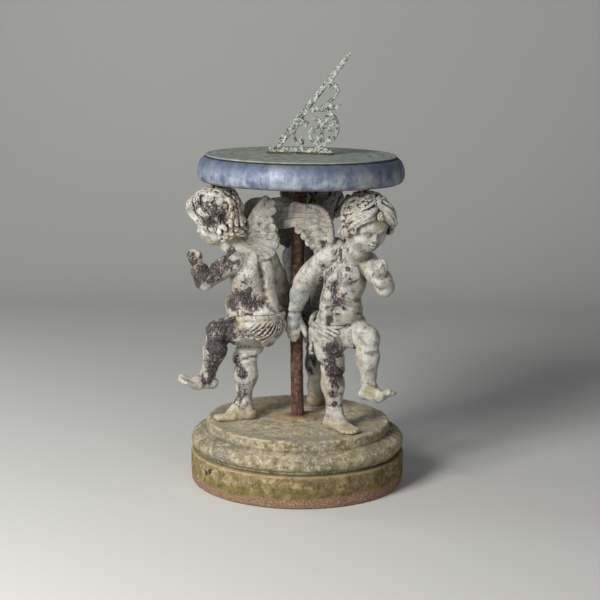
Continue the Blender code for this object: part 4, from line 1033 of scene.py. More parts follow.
# The wing's arm, along its leading edge: points (s, z) and half widths
RIGHT_WING_ARM = (
    [(2, 572), (-4, 592), (-8, 615), (-8, 640), (2, 664), (20, 678), (44, 682), (72, 682)],
    [12, 11, 9, 8, 8.5, 7, 5, 3],
)
LEFT_WING_ARM = (
    [(2, 568), (-2, 590), (0, 615), (8, 640), (20, 664), (37, 684), (52, 698)],
    [11, 9, 7.5, 6.5, 6, 4.6, 3.2],
)
ARM_LEVEL = 4.6


def flat_path(points, count):
    return smooth_path([(*point, 0.0) for point in points], count)


def feather_sheet(feathers, arm):
    """Half thickness and outline distance over the sheet, in mm."""
    high = np.zeros_like(SHEET_S)
    edge = np.full_like(SHEET_S, FAR)
    for root_s, root_z, tip_s, tip_z, wide, level in feathers:
        length = math.hypot(tip_s - root_s, tip_z - root_z)
        unit_s, unit_z = (tip_s - root_s) / length, (tip_z - root_z) / length
        along = (SHEET_S - root_s) * unit_s + (SHEET_Z - root_z) * unit_z
        share = np.clip(along / length, 0, 1)
        bend = 0.07 * wide * np.sin(share * math.pi)
        side = -(SHEET_S - root_s) * unit_z + (SHEET_Z - root_z) * unit_s - bend
        half = wide * (0.62 + 0.38 * np.sin(np.minimum(share * 1.35, 1.0) * math.pi / 2))
        tip = np.clip((along - (length - wide * 1.15)) / (wide * 1.15), 0, 1)
        half = half * np.sqrt(np.maximum(1.0 - tip**2.2, 1e-4))
        away = np.maximum(np.maximum(np.abs(side) - half, along - length), -along - wide * 0.4)
        edge = np.minimum(edge, away)
        over = np.clip(side / np.maximum(half, 0.5), -1, 1)
        swell = 0.4 + 0.6 * np.sin(np.clip(share, 0.05, 1) * math.pi * 0.75)
        dome = 2.1 * (1 - over**2) * swell
        shaft = 0.75 * np.exp(-((side / 0.9) ** 2)) * (share < 0.94)
        barbs = 0.34 * np.sin((along - np.abs(side) * 1.1) * TAU / 3.4)
        value = level * 1.12 - 0.6 + dome + shaft + barbs
        inside = away < 0
        high[inside] = value[inside]
    best = np.full_like(SHEET_S, FAR)
    wide = np.ones_like(SHEET_S)
    for point, width in zip(flat_path(arm[0], 22), spread(arm[1], 22)):
        away = np.hypot(SHEET_S - point[0], SHEET_Z - point[1]) - width
        wide = np.where(away < best, width, wide)
        best = np.minimum(best, away)
    edge = np.minimum(edge, best)
    rough = np.sin(SHEET_S * 0.9 + SHEET_Z * 0.5) * np.sin(SHEET_Z * 0.8 - SHEET_S * 0.35)
    lump = ARM_LEVEL + 2.4 * np.sqrt(np.clip(-best / wide, 0, 1)) + 0.3 * rough
    high = np.where(best < 0, np.maximum(high, lump), high)
    # fill any chinks between feathers so that the sheet has no holes
    for _ in range(3):
        grown = high.copy()
        for shift in ((1, 0), (-1, 0), (0, 1), (0, -1)):
            grown = np.maximum(grown, np.roll(high, shift, (0, 1)) * 0.97)
        high = np.where(high <= 0, grown, high)
    for _ in range(2):
        total = high * 2 + np.roll(high, 1, 0) + np.roll(high, -1, 0)
        high = (total + np.roll(high, 1, 1) + np.roll(high, -1, 1)) / 6
    return high, edge


def read_sheet(table, i, j):
    """Bilinear reading of a table at fractional rows i and columns j."""
    row, column = i.astype(np.int32), j.astype(np.int32)
    down, over = i - row, j - column
    return (
        table[row, column] * (1 - down) * (1 - over)
        + table[row + 1, column] * down * (1 - over)
        + table[row, column + 1] * (1 - down) * over
        + table[row + 1, column + 1] * down * over
    )


def sheet_field(grid, sheet, where):
    """A wing's field on a grid; where gives each point's s and its distance off the sheet."""
    x, y, z = grid.whole()
    out, off, z = np.broadcast_arrays(*where(x, y, z), z)
    high, edge = sheet
    i = np.clip((out - SHEET_S[0, 0]) / SHEET_STEP, 0, high.shape[0] - 1.01)
    j = np.clip((z - SHEET_Z[0, 0]) / SHEET_STEP, 0, high.shape[1] - 1.01)
    thick = np.abs(off) - read_sheet(high, i, j)
    return smooth_high(thick, read_sheet(edge, i, j), 3.0).astype(np.float32)


def left_wing_sheet(x, y, z):
    """The left wing is one gently curved sheet."""
    out = (x - 127.0) * -0.829 + (y - 52.0) * 0.559
    off = (x - 127.0) * 0.559 + (y - 52.0) * 0.829
    return out, off + 0.0011 * out * out - 1.0


def right_wing_sheet(x, y, z):
    """The right wing's root and direction change with height, so that it twists."""
    rise = np.clip((z - 560.0) / 125.0, 0, 1)
    root_x, root_y = 104.0 + 30.0 * rise, 14.0 - 30.0 * rise
    aim_x, aim_y = -0.75 - 0.20 * rise, -0.66 + 0.36 * rise
    size = np.sqrt(aim_x * aim_x + aim_y * aim_y)
    aim_x, aim_y = aim_x / size, aim_y / size
    out = (x - root_x) * aim_x + (y - root_y) * aim_y
    off = -(x - root_x) * aim_y + (y - root_y) * aim_x
    return out, off + 0.0006 * out * out - 1.0


# =============================================================== putto: drapery
# Directions round the hips, in degrees: left hip 59, back 149, right hip 239, front 329.
cloth_base = [
    oval(PELVIS + (1, 1, -6), (52, 57.5, 40), turned_axes(-31), 16),
    oval(RUMP + (0, 0, -16), (49.5, 50, 42), turned_axes(-31), 16),
    ball(rump(-7, 20, -16), 38, 12),
    ball(rump(-7, -21, -16), 38, 12),
    cone(HIP_R, KNEE_R + (-2, 0, 8), 44.5, 33, 16),
    cone(HIP_L + (-8, -4, 0), KNEE_L, 43.5, 34, 16),
    oval(HIP_R + (14, -2, -34), (40, 39, 44), turned_axes(0, -16), 12),
]
HIP_AXIS = vec(108, 36)
WAIST = 407.0


def wrap(theta, z, lift):
    """A point on the cloth in one direction round the hips, found by walking inward."""
    turn = math.radians(theta)
    out = vec(math.cos(turn), math.sin(turn), 0)
    point = vec(HIP_AXIS[0], HIP_AXIS[1], z) + out * 120
    for _ in range(24):
        away = float(at_points(cloth_base, point[None, :])[0])
        point = point - out * max(away, 0.0) * 0.85
        if away < 0.15:
            break
    return point + out * lift


def fold(stops, radii, count, blend, lift, cut=False):
    """A ridge or valley over the cloth, through stops of (direction, height)."""
    return tube([wrap(theta, z, lift) for theta, z in stops], radii, count, blend, cut)


def hip_shares(theta):
    """How far a direction points to the left and to the back, from -1 to 1."""
    return np.cos(np.radians(theta - 59)), np.cos(np.radians(theta - 149))


def waist(theta):
    """Height of the waistband."""
    lateral, back = hip_shares(theta)
    return WAIST + 4.0 * lateral + 11.0 * max(back, 0.0) ** 0.7 + 5.0 * min(back, 0.0)


folds, cloth_cuts = [], []
# Fan over the seat to the right hip: top direction, low direction, low height, radius
for top, end, low_z, radius in (
    (150, 146, 344, 5.6), (153, 160, 343, 6.4), (157, 174, 341, 6.9), (161, 188, 339, 7.4),
    (166, 201, 337, 7.6), (172, 214, 336, 7.4), (180, 226, 338, 6.6), (190, 238, 343, 5.8),
):
    upper, lower = (top * 2 + end) / 3, (top + end * 2) / 3
    folds += fold(
        [(top, waist(top) - 4), (upper, 388), (lower + 2, 364), (end, low_z)],
        [2.6, 4.6, radius, radius], 11, 1.6, 0.8,
    )
    cloth_cuts += fold(
        [(top + 2, waist(top) - 9), (upper + 4.2, 386), (lower + 8.5, 364),
         (end + 7.2, low_z - 4)],
        [1.0, 2.5, 3.6, 3.6], 11, 2.0, 2.2, True,
    )
# Fan over the seat to the left hip, with the same columns
for top, end, low_z, radius in (
    (147, 134, 347, 6.0), (144, 122, 352, 6.0), (140, 109, 359, 5.8), (134, 96, 368, 5.6),
    (127, 84, 371, 5.4), (117, 72, 373, 5.2), (106, 61, 375, 4.8), (94, 50, 379, 4.4),
    (82, 39, 384, 3.8),
):
    middle = (top + end) / 2
    folds += fold(
        [(top, waist(top) - 4), (middle + 3, 384), (end, low_z)],
        [2.6, radius, radius], 9, 1.6, 0.6,
    )
    cloth_cuts += fold(
        [(top - 2, waist(top) - 10), (middle - 2, 382), (end - 7, low_z + 3)],
        [1.0, 2.9, 3.2], 9, 2.0, 2.2, True,
    )
# soft folds over the front, drawn toward the left hip
for stops, radius in (
    (((262, 396), (300, 384), (330, 366), (342, 350)), 3.4),
    (((285, 397), (318, 386), (340, 370), (349, 354)), 3.6),
    (((312, 397), (334, 388), (350, 374), (356, 362)), 3.4),
):
    folds += fold(stops, [1.8, radius, radius, radius * 0.8], 11, 3.0, -1.2)
# soft rolled waistband, with creases across it
band_path, band_size = [], []
for j in range(49):
    theta = 360.0 * j / 48
    front = max(0.0, -hip_shares(theta)[1])
    band_path.append(wrap(theta, waist(theta), 0.5 - 3.2 * front))
    band_size.append(6.4 + 0.8 * math.sin(j * 1.35) - 1.8 * front)
folds += chain(band_path, band_size, 3.0)
for j in range(11):
    theta = 64.0 + 16.0 * j + 5.0 * math.sin(j * 2.3)
    crease = ((-5.2, 5.2, 5.5), (0, 1, 7.2), (6.4, -4.2, 6.4))
    path = [wrap(theta + turn, waist(theta) + up, lift) for turn, up, lift in crease]
    cloth_cuts += chain(path, 0.9, 2.2, True)
# Bunch of cloth behind the right hip: low end, bend, radius
for low, bend, radius in (
    ((66, 10, 338), (70, 14, 362), 9.0), ((78, -12, 330), (76, 2, 358), 8.6),
    ((66, 34, 345), (68, 28, 365), 8.0), ((71, -2, 334), (73, 8, 360), 7.6),
    ((84, -20, 340), (82, -6, 364), 7.0),
):
    folds += tube([(78, 20, 388), bend, low], [11, radius + 1.5, radius * 0.8], 8, 2.4)
    crease = [np.add(bend, (-10, -7, 4)), np.add(low, (-8, -7, 0))]
    cloth_cuts += tube(crease, [1.0, 1.2], 5, 2.0, True)


# =============================================================== putto: fields to meshes
FLESH = {
    "body": body_items,
    "head": head_items,
    "left_arm": left_arm_items,
    "right_arm": right_arm_items,
    "raised_leg": leg_items,
}
STEPS = {"body": 2.0, "head": 1.42, "left_arm": 1.6, "right_arm": 1.6, "raised_leg": 1.8}
JOIN = 9.0  # blend width between the flesh pieces


def extent(items, pad):
    """The corners of the box round the items that add."""
    low = np.min([item[0] for item in items if not item[4]], axis=0)
    high = np.max([item[1] for item in items if not item[4]], axis=0)
    return low - pad, high + pad


def rod_clear(grid):
    x, y, _ = grid.whole()
    return (16.0 - np.sqrt(x * x + y * y)).astype(np.float32)


def finish_piece(field, grid, around, gain):
    """Vertices, quads and the attributes for dirt and painted shade; around is the field that
    shades the piece.
    """
    verts, quads = surface(field, grid)
    mean = neighbour_mean(verts, edges_of(quads))
    verts = verts + (mean - verts) * 0.35
    normals = vertex_normals(verts, [quads])
    # hollow is how closed in each vertex is, an occlusion estimate that paints dirt and shade into
    # the hollows
    hollow = np.zeros(len(verts))
    for reach, share in ((4.0, 0.35), (9.0, 0.35), (18.0, 0.30)):
        away = grid.sample(around, verts + normals * reach)
        hollow += share * np.clip(1.0 - away / reach, 0, 1.3)
    cavity = np.clip(cavity_of(verts, quads, 4) * gain / 0.9, -1, 1)
    return verts, quads, {"hollow": np.clip(hollow, 0, 1), "cavity": cavity}


def flesh_piece(part):
    """One part of the flesh, cut where another part is nearer."""
    items = FLESH[part] + (hair_items + hair_cuts if part == "head" else [])
    low, high = extent(items, 6.0)
    if part == "body":
        low[2] = SOLE - 5
    if part == "head":
        high[2] = TOP + 5
    grid = Grid(low, high, STEPS[part])
    mine = grid.field(items)
    rest = None
    for other, other_items in FLESH.items():
        if other == part:
            continue
        field = grid.field(other_items)
        rest = field if rest is None else smooth_low(rest, field, 2.0)
    lumps = 0.55 * grid.noise(15.0, 1) + 0.32 * grid.noise(6.5, 2)
    whole = smooth_low(mine, rest, JOIN) + lumps
    halves = (mine - rest) * 0.5
    if part == "body":
        field = np.maximum(whole, halves)
    else:
        # other parts run on a little, just under the surface of their neighbour
        under = np.clip(halves + 1.0, 0, 1)
        field = np.maximum(whole + 0.35 * under, halves - 2.5)
    field = np.maximum(field, rod_clear(grid))
    z = grid.whole()[2]
    field = np.maximum(field, SOLE - z)
    field = np.maximum(field, z - TOP)
    return finish_piece(field, grid, whole, gain=0.85 if part == "head" else 1.2)


def wing_piece(feathers, arm, where, low, high):
    grid = Grid(low, high, 1.15)
    wing = sheet_field(grid, feather_sheet(feathers, arm), where) + 0.12 * grid.noise(5.0, 1)
    trunk = grid.field(body_items)
    arms = smooth_low(grid.field(left_arm_items), grid.field(right_arm_items), 2.0)
    field = smooth_low(wing, trunk + 0.6, 8.0)
    field = np.maximum(field, -(trunk + 2.0))
    field = np.maximum(field, wing - 7.0)
    field = np.maximum(field, -(arms + 1.5))
    field = np.maximum(field, rod_clear(grid))
    field = np.maximum(field, grid.whole()[2] - TOP + 1.0)
    return finish_piece(field, grid, np.minimum(wing, trunk), gain=1.8)


def drapery_piece():
    grid = Grid(vec(22, -48, 322), vec(196, 122, 424), 1.5)
    base = grid.field(cloth_base)
    x, y, z = grid.whole()
    theta = np.degrees(np.arctan2(y - HIP_AXIS[1], x - HIP_AXIS[0]))
    lateral, back = hip_shares(theta)
    top = WAIST + 4.0 * lateral + 2.0 * back - 3.0 * np.maximum(0.0, -back)
    hem = (
        350.0 + 16.0 * lateral - 5.0 * np.maximum(back, 0)
        + 2.2 * np.sin(np.radians(theta * 9)) + 1.4 * np.sin(np.radians(theta * 17))
    )
    front = np.clip(-back, 0, 1)
    panel = np.exp(-(((theta + 18.0) / 17.0) ** 2))
    hem = hem + np.clip(front * 3.0 - 0.15, 0, 1) * (26.0 - 40.0 * panel)
    thin = (3.0 * np.clip(front * 2.0, 0, 1)).astype(np.float32)
    field = np.maximum(base + thin, (z - top).astype(np.float32))
    field = np.maximum(field, (hem - z).astype(np.float32))
    # the end of the cloth across the raised thigh
    leg = HIP_L + (21, 3, 0)
    along = unit(KNEE_L - HIP_L)
    end = (x - leg[0]) * along[0] + (y - leg[1]) * along[1] + (z - leg[2]) * along[2]
    end = end.astype(np.float32)
    field = smooth_high(field, end + 2.0 * np.sin(z * 0.35), 2.0)
    field = grid.field(folds + cloth_cuts, field)
    field = smooth_high(field, end - 3.0, 3.0)
    skin = smooth_low(grid.field(body_items), grid.field(leg_items), 6.0)
    field = field + 0.35 * grid.noise(9.0, 3)
    whole = np.minimum(field, skin)
    field = np.maximum(field, -(skin + 2.0))
    field = np.maximum(field, -(grid.field(right_arm_items) - 0.3))
    field = np.maximum(field, rod_clear(grid))
    return finish_piece(field, grid, whole, gain=1.1)


pieces = {part: flesh_piece(part) for part in FLESH}
pieces["left_wing"] = wing_piece(
    LEFT_FEATHERS, LEFT_WING_ARM, left_wing_sheet, vec(40, 30, 545), vec(146, 122, 718)
)
pieces["right_wing"] = wing_piece(
    RIGHT_FEATHERS, RIGHT_WING_ARM, right_wing_sheet, vec(-28, -92, 552), vec(150, 44, 704)
)
pieces["drapery"] = drapery_piece()

# Weathering spots on each putto: x, y, z, radius (mm, in the putto's frame) and strength
MARKS = {
    "left": {
        "bare": (
            (168, 95, 572, 18, 0.8), (155, 110, 541, 17, 0.6), (137, 100, 507, 16, 0.35),
            (122, 95, 483, 8, 0.9), (161, 67, 451, 18, 0.95), (135, 85, 453, 24, 1.0),
            (105, 86, 448, 17, 0.8), (128, 87, 435, 19, 0.8), (148, 81, 474, 10, 0.5),
            (255, 87, 524, 18, 0.9), (259, 68, 544, 14, 0.55), (247, 97, 510, 17, 1.0),
            (223, 103, 520, 18, 1.0), (203, 105, 540, 18, 0.8), (184, 108, 549, 17, 0.7),
            (200, 108, 508, 12, 0.4), (229, 110, 505, 11, 0.6), (248, 94, 495, 7, 0.9),
            (213, 102, 528, 16, 1.0), (194, 112, 532, 16, 0.9), (187, 111, 518, 12, 0.7),
            (236, 94, 532, 16, 1.0), (178, 97, 559, 12, 0.8), (259, 65, 558, 10, 0.7),
            (193, 96, 380, 27, 1.0), (165, 90, 399, 19, 0.85), (177, 80, 355, 21, 0.95),
            (196, 91, 332, 21, 1.0), (206, 78, 295, 16, 0.9), (200, 65, 278, 12, 0.7),
            (223, 73, 259, 11, 0.9), (144, 96, 384, 13, 0.45), (184, 91, 392, 20, 1.0),
            (209, 88, 345, 16, 0.9), (216, 74, 277, 11, 0.8), (183, 67, 306, 13, 0.7),
            (145, 35, 302, 12, 0.55), (143, 37, 284, 12, 0.55), (139, 39, 266, 12, 0.60),
            (137, 39, 249, 13, 0.60), (136, 38, 231, 12, 0.60), (139, 37, 216, 12, 0.55),
            (118, 41, 253, 8, 0.3), (149, 32, 194, 11, 0.55), (144, 35, 203, 12, 0.55),
            (242, 92, 687, 13, 0.7), (210, 112, 677, 17, 0.85), (196, 113, 657, 18, 0.85),
            (216, 109, 643, 14, 0.7), (185, 109, 671, 9, 0.5), (175, 94, 636, 11, 0.4),
            (229, 109, 664, 11, 0.5), (59, 77, 370, 7, 0.8), (70, 43, 341, 8, 0.8),
            (88, 81, 687, 8, 0.5), (68, -34, 682, 6, 0.5),
        ),
        "speck": (
            (119, 109, 522, 30, 1.0), (145, 103, 534, 24, 0.8), (112, 87, 465, 24, 1.0),
            (94, 78, 602, 30, 0.8), (123, 35, 224, 24, 0.8),
        ),
        "green": (
            (159, 38, 172, 30, 0.6), (194, 57, 249, 7, 0.2), (116, 37, 286, 16, 0.55),
            (109, 22, 227, 13, 0.5), (201, 71, 587, 16, 0.45), (168, 76, 605, 16, 0.5),
            (139, 37, 189, 12, 0.4), (126, 61, 619, 12, 0.3),
        ),
        "buff": (
            (201, 71, 587, 16, 0.9), (168, 76, 605, 18, 0.9), (135, 54, 605, 14, 0.8),
            (93, 108, 403, 18, 0.5), (144, 91, 399, 16, 0.5), (242, 80, 252, 12, 0.6),
        ),
        "blue": (
            (210, 107, 527, 12, 0.5), (92, 106, 383, 12, 0.4), (93, 82, 504, 12, 0.3),
            (235, 109, 505, 12, 0.5),
        ),
    },
    "right": {
        "bare": (
            (112, 0, 534, 13, 0.55), (96, 4, 505, 12, 0.65), (124, 4, 489, 13, 0.6),
            (140, 12, 494, 13, 0.65), (153, 13, 473, 16, 0.85), (152, 5, 457, 14, 0.85),
            (167, 18, 455, 11, 0.6), (157, -5, 443, 11, 0.5), (147, -10, 422, 10, 0.85),
            (140, -7, 407, 6, 0.8), (142, -11, 447, 7, 0.7), (157, 30, 538, 6, 0.5),
            (156, 20, 519, 8, 0.5), (168, 31, 513, 6, 0.4), (140, 26, 555, 6, 0.5),
            (119, 17, 560, 7, 0.5), (147, -5, 348, 16, 0.9), (153, 12, 342, 17, 1.0),
            (151, 0, 322, 16, 0.95), (158, 2, 296, 17, 1.0), (156, 6, 268, 16, 0.95),
            (153, 4, 241, 13, 0.9), (147, 5, 216, 8, 0.8), (149, 26, 285, 8, 0.5),
            (147, -8, 305, 11, 0.6), (157, 3, 366, 11, 0.6), (111, -1, 590, 11, 0.5),
            (94, -1, 571, 10, 0.45), (119, 8, 580, 10, 0.45), (268, 53, 559, 7, 0.35),
            (168, 21, 586, 6, 0.5),
        ),
        "speck": (
            (95, -5, 558, 30, 1.0), (80, -26, 524, 24, 0.8), (151, 20, 512, 30, 0.9),
            (160, 0, 449, 24, 0.9), (67, -32, 463, 24, 0.5), (155, 14, 287, 30, 0.8),
            (267, 54, 552, 18, 0.6), (99, -25, 645, 30, 0.5),
        ),
        "blue": (
            (61, -44, 463, 24, 0.8), (43, -35, 406, 24, 0.9), (80, -26, 518, 18, 0.5),
            (164, 26, 513, 14, 0.7), (161, 37, 486, 12, 0.7), (162, 0, 423, 18, 0.4),
            (152, 27, 312, 12, 0.4), (154, 0, 248, 14, 0.4), (230, 59, 337, 24, 0.45),
            (260, 59, 538, 24, 0.5), (222, 14, 632, 12, 0.4), (242, 52, 702, 15, 0.6),
            (224, 67, 355, 20, 0.6), (231, 59, 305, 18, 0.6), (141, -9, 361, 24, 0.35),
            (51, -21, 433, 18, 0.9), (107, 1, 572, 18, 0.5), (138, 12, 537, 18, 0.6),
            (230, 48, 299, 18, 0.4), (156, 8, 181, 18, 0.3),
        ),
        "green": (
            (253, 49, 652, 16, 0.8), (265, 52, 666, 13, 0.7), (170, 62, 511, 12, 0.9),
            (157, 64, 456, 10, 0.9), (164, 64, 431, 7, 0.9), (178, 63, 545, 11, 0.7),
            (237, 44, 261, 16, 0.9), (266, 55, 260, 12, 0.7), (213, 36, 323, 6, 0.9),
            (204, 38, 355, 6, 0.9), (207, 42, 388, 7, 0.7), (163, 4, 155, 24, 0.6),
            (192, 15, 161, 24, 0.5), (235, 52, 599, 8, 0.6), (185, 49, 567, 10, 0.6),
        ),
        "buff": (
            (136, 3, 641, 6, 0.4), (67, -35, 635, 30, 0.5), (97, -15, 612, 24, 0.5),
            (119, 2, 508, 12, 0.4), (125, -12, 641, 18, 0.4), (200, 42, 159, 10, 0.5),
        ),
    },
    "rear": {
        "bare": (
            (110, -8, 470, 28, 0.8), (166, 8, 440, 26, 0.8), (60, -34, 490, 30, 0.8),
            (230, 88, 505, 26, 0.7), (180, 60, 600, 22, 0.6), (200, 100, 660, 30, 0.6),
            (200, 80, 350, 34, 0.8), (130, 30, 320, 28, 0.8), (110, 30, 260, 26, 0.7),
            (90, 90, 430, 26, 0.6), (240, 40, 640, 14, 0.5),
        ),
        "speck": ((120, 40, 480, 90, 0.7),),
        "blue": ((60, -20, 440, 60, 0.6), (200, 70, 540, 50, 0.4)),
        "green": ((160, 20, 160, 60, 0.8), (250, 66, 252, 44, 0.7), (150, 60, 360, 40, 0.5)),
    },
}
# How much darker each putto and some of its parts are; the rear putto's darkness is painted shade,
# for it stands in shade behind the rod
PUTTO_TONE = {"left": 0.0, "right": 0.38, "rear": 0.85}
PART_TONE = {"left_wing": 0.45, "right_wing": 0.45, "drapery": 0.12}
LEFT_PUTTO_TONE = {"left_wing": 0.90, "left_arm": 0.50, "raised_leg": 0.25}


def weathering_and_shade(where, part, verts):
    """The weathering attributes of one part of one putto, and its tone, which also carries painted
    shade.
    """
    out = {}
    height = verts[:, 2]
    for key in ("bare", "speck", "blue", "green", "buff"):
        total = np.zeros(len(verts))
        extra = 0.16 if key == "bare" else 0.0
        for x, y, z, size, strength in MARKS[where].get(key, ()):
            # the left putto's arm and leg are barer
            if where == "left" and key == "bare" and x > 172 and z < 600:
                size, strength = size * 1.22, min(strength + 0.08, 1.05)
            away = np.sqrt(((verts - (x, y, z)) ** 2).sum(1))
            mark = (strength + extra) * soft(1.75 - away / size, 0.0, 1.25)
            total = np.maximum(total, mark)
        if key == "green":
            total = np.maximum(total, 0.62 * soft(205.0 - height, 0, 50))
        if key == "buff":
            total = np.maximum(total, 0.85 * soft(205.0 - height, 0, 40))
        out[key] = total
    tone = PART_TONE.get(part, 0.0) + PUTTO_TONE[where]
    if where == "left":
        tone += LEFT_PUTTO_TONE.get(part, 0.0)
    # painted shade: darker toward the tops of the heads and wings, which lie in shade under the
    # table
    out["tone"] = np.clip(tone + soft(height, 700.0, 732.0) * 0.9, 0, 2)
    return out


PUTTI = {}
for where, degrees in PUTTO_ANGLE.items():
    for part, (verts, quads, attributes) in pieces.items():
        PUTTI[where, part] = make(
            f"{where}_cast_{part}", to_metres(verts, math.radians(degrees)), [quads],
            "pedestal", f"{where}_putto_{part}",
            {**attributes, **weathering_and_shade(where, part, verts)},
        )


# =============================================================== turned pieces, metres
def resample(path, gap):
    """Points along a path of (r, z), closer than gap(r, z), keeping its corners."""
    out = [path[0]]
    for a, b in zip(path, path[1:]):
        step = gap((a[0] + b[0]) / 2, (a[1] + b[1]) / 2)
        count = max(1, int(math.ceil(math.dist(a, b) / step)))
        for j in range(1, count + 1):
            out.append((a[0] + (b[0] - a[0]) * j / count, a[1] + (b[1] - a[1]) * j / count))
    return out


def rounded(path, radius):
    """Rounds every corner of a path but its ends, up to the radius."""
    out = [path[0]]
    for a, b, c in zip(path, path[1:], path[2:]):
        before, after = math.dist(a, b), math.dist(b, c)
        cut = min(radius, before * 0.45, after * 0.45)
        start = [b[i] + (a[i] - b[i]) * cut / before for i in (0, 1)]
        end = [b[i] + (c[i] - b[i]) * cut / after for i in (0, 1)]
        for j in range(4):
            t = j / 3
            out.append(tuple(
                (1 - t) ** 2 * start[i] + 2 * t * (1 - t) * b[i] + t * t * end[i]
                for i in (0, 1)
            ))
    out.append(path[-1])
    return out


def ring_quads(rows, segments, loop):
    i = np.arange(rows if loop else rows - 1)[:, None]
    j = np.arange(segments)[None, :]
    low, high, turn = i * segments, (i + 1) % rows * segments, (j + 1) % segments
    return np.stack([low + j, low + turn, high + turn, high + j], 2).reshape(-1, 4)


def outward(verts, groups):
    """Turns the faces outward, by the sign of the volume."""
    volume = 0.0
    for group in groups:
        first = verts[group[:, 0]]
        for k in range(1, group.shape[1] - 1):
            volume += (first * np.cross(verts[group[:, k]], verts[group[:, k + 1]])).sum()
    return [group[:, ::-1] for group in groups] if volume < 0 else groups


def revolve(path, segments, loop=False):
    """Vertices and faces of a path of (r, z) turned about Z; an end at r = 0 is a pole."""
    poles = [not loop and path[0][0] < 1e-6, not loop and path[-1][0] < 1e-6]
    rows = path[1 if poles[0] else 0 : len(path) - 1 if poles[1] else len(path)]
    angle = np.arange(segments) * TAU / segments
    r = np.array([p[0] for p in rows])[:, None]
    z = np.broadcast_to(np.array([p[1] for p in rows])[:, None], (len(rows), segments))
    verts = np.stack([r * np.cos(angle), r * np.sin(angle), z], 2).reshape(-1, 3)
    groups = [ring_quads(len(rows), segments, loop)]
    here = np.arange(segments)
    after = (here + 1) % segments
    if poles[0]:
        groups.append(np.stack([np.full(segments, len(verts)), after, here], 1))
        verts = np.vstack([verts, [0, 0, path[0][1]]])
    if poles[1]:
        last = (len(rows) - 1) * segments
        groups.append(np.stack([np.full(segments, len(verts)), last + here, last + after], 1))
        verts = np.vstack([verts, [0, 0, path[-1][1]]])
    return verts, outward(verts, groups)


def worn(verts, groups, lift):
    return verts + vertex_normals(verts, groups) * np.asarray(lift)[:, None]


def radius_of(verts):
    return np.hypot(verts[:, 0], verts[:, 1])


def plinth():
    """A rough disc, with bare aggregate along its foot."""
    outline = [  # r, z
        (0.0, 0.0), (0.2548, 0.0), (0.2590, 0.0035), (0.2600, 0.0300), (0.2600, 0.0700),
        (0.2588, 0.0756), (0.2545, PLINTH_TOP), (ROD_HOLE, PLINTH_TOP), (ROD_HOLE, 0.0297),
        (0.0, 0.0297),
    ]
    path = resample(rounded(outline, 0.003), lambda r, z: 0.0022 if r > 0.24 else 0.02)
    verts, groups = revolve(path, 560)
    z = verts[:, 2]
    side = soft(z, 0.001, 0.006) * soft(0.0772 - z, 0.0, 0.004) * (radius_of(verts) > 0.2)
    aggregate = soft(0.024 + 0.008 * value_noise(verts, 0.05, seed=1) - z, -0.004, 0.004)
    lift = 0.0009 * fbm(verts, wave=0.045, octaves=3, seed=2)
    lift += 0.0005 * fbm(verts, wave=0.010, octaves=3, seed=3)
    lift += aggregate * (0.0012 * fbm(verts, wave=0.006, octaves=2, seed=4) - 0.0010)
    lift -= 0.0022 * soft(fbm(verts, wave=0.030, octaves=4, seed=6), 0.28, 0.55)
    foot = np.exp(-((z / 0.006) ** 2))
    lift -= foot * 0.0014 * (0.5 + fbm(verts, wave=0.012, octaves=3, seed=8))
    foot_wear = np.minimum(lift, 0) * (foot > 0.5) * 0.3 * (z > 0.0005)
    verts = worn(verts, groups, lift * side + foot_wear)
    verts[:, 2] = np.clip(verts[:, 2], 0.0, PLINTH_TOP)
    attributes = {"aggregate": aggregate, "worn": soft(-lift, 0.0005, 0.002)}
    make("plinth_disc", verts, groups, "pedestal", "base_plinth", attributes)


def moulding():
    """Step, cove and torus, weathered."""
    outline = [  # r, z
        (ROD_HOLE, BASE_LOW), (0.2465, BASE_LOW), (0.2475, 0.0848), (0.2545, 0.0895),
        (0.2580, 0.0960), (0.2588, 0.1045), (0.2570, 0.1110), (0.2515, 0.1165),
        (0.2440, 0.1205), (0.2370, 0.1228), (0.2290, 0.1240), (0.2245, 0.1262),
        (0.2233, 0.1300), (0.2230, 0.1450), (0.2212, 0.1488), (0.2178, BASE_TOP),
        (ROD_HOLE, BASE_TOP),
    ]

    def gap(r, z):
        if r > 0.212 and z > 0.0779:
            return 0.0022
        return 0.0042 if z > 0.14 else 0.02

    verts, groups = revolve(resample(rounded(outline, 0.0022), gap), 560, loop=True)
    radius, z = radius_of(verts), verts[:, 2]
    top = soft(z, 0.1470, 0.1496)
    side = soft(z, 0.0779, 0.083) * (radius > 0.1)
    lift = 0.0007 * fbm(verts, wave=0.040, octaves=3, seed=1)
    lift += 0.0004 * fbm(verts, wave=0.009, octaves=3, seed=5)
    edge = np.exp(-(((radius - 0.2215) / 0.004) ** 2) - ((z - 0.149) / 0.0035) ** 2)
    lift -= edge * 0.0032 * soft(fbm(verts, wave=0.028, octaves=4, seed=9), 0.05, 0.45)
    lift -= 0.0016 * soft(fbm(verts, wave=0.024, octaves=4, seed=12), 0.30, 0.55)
    crack = np.abs(fbm(verts, wave=0.07, octaves=4, seed=14))
    lift -= 0.0012 * soft(0.020 - crack, 0.0, 0.012) * top
    lift = np.where(top > 0.5, np.minimum(lift - 0.0001, 0.0), lift)
    lift = lift * np.where(radius > 0.0172, 1.0, 0.0)
    verts = worn(verts, groups, lift * side)
    verts[:, 2] = np.clip(verts[:, 2], BASE_LOW, BASE_TOP)
    attributes = {
        "top": top,
        "crack": soft(0.026 - crack, 0.0, 0.016) * top,
        "worn": soft(-lift, 0.0004, 0.0018),
    }
    make("moulded_base", verts, groups, "pedestal", "base_moulding", attributes)


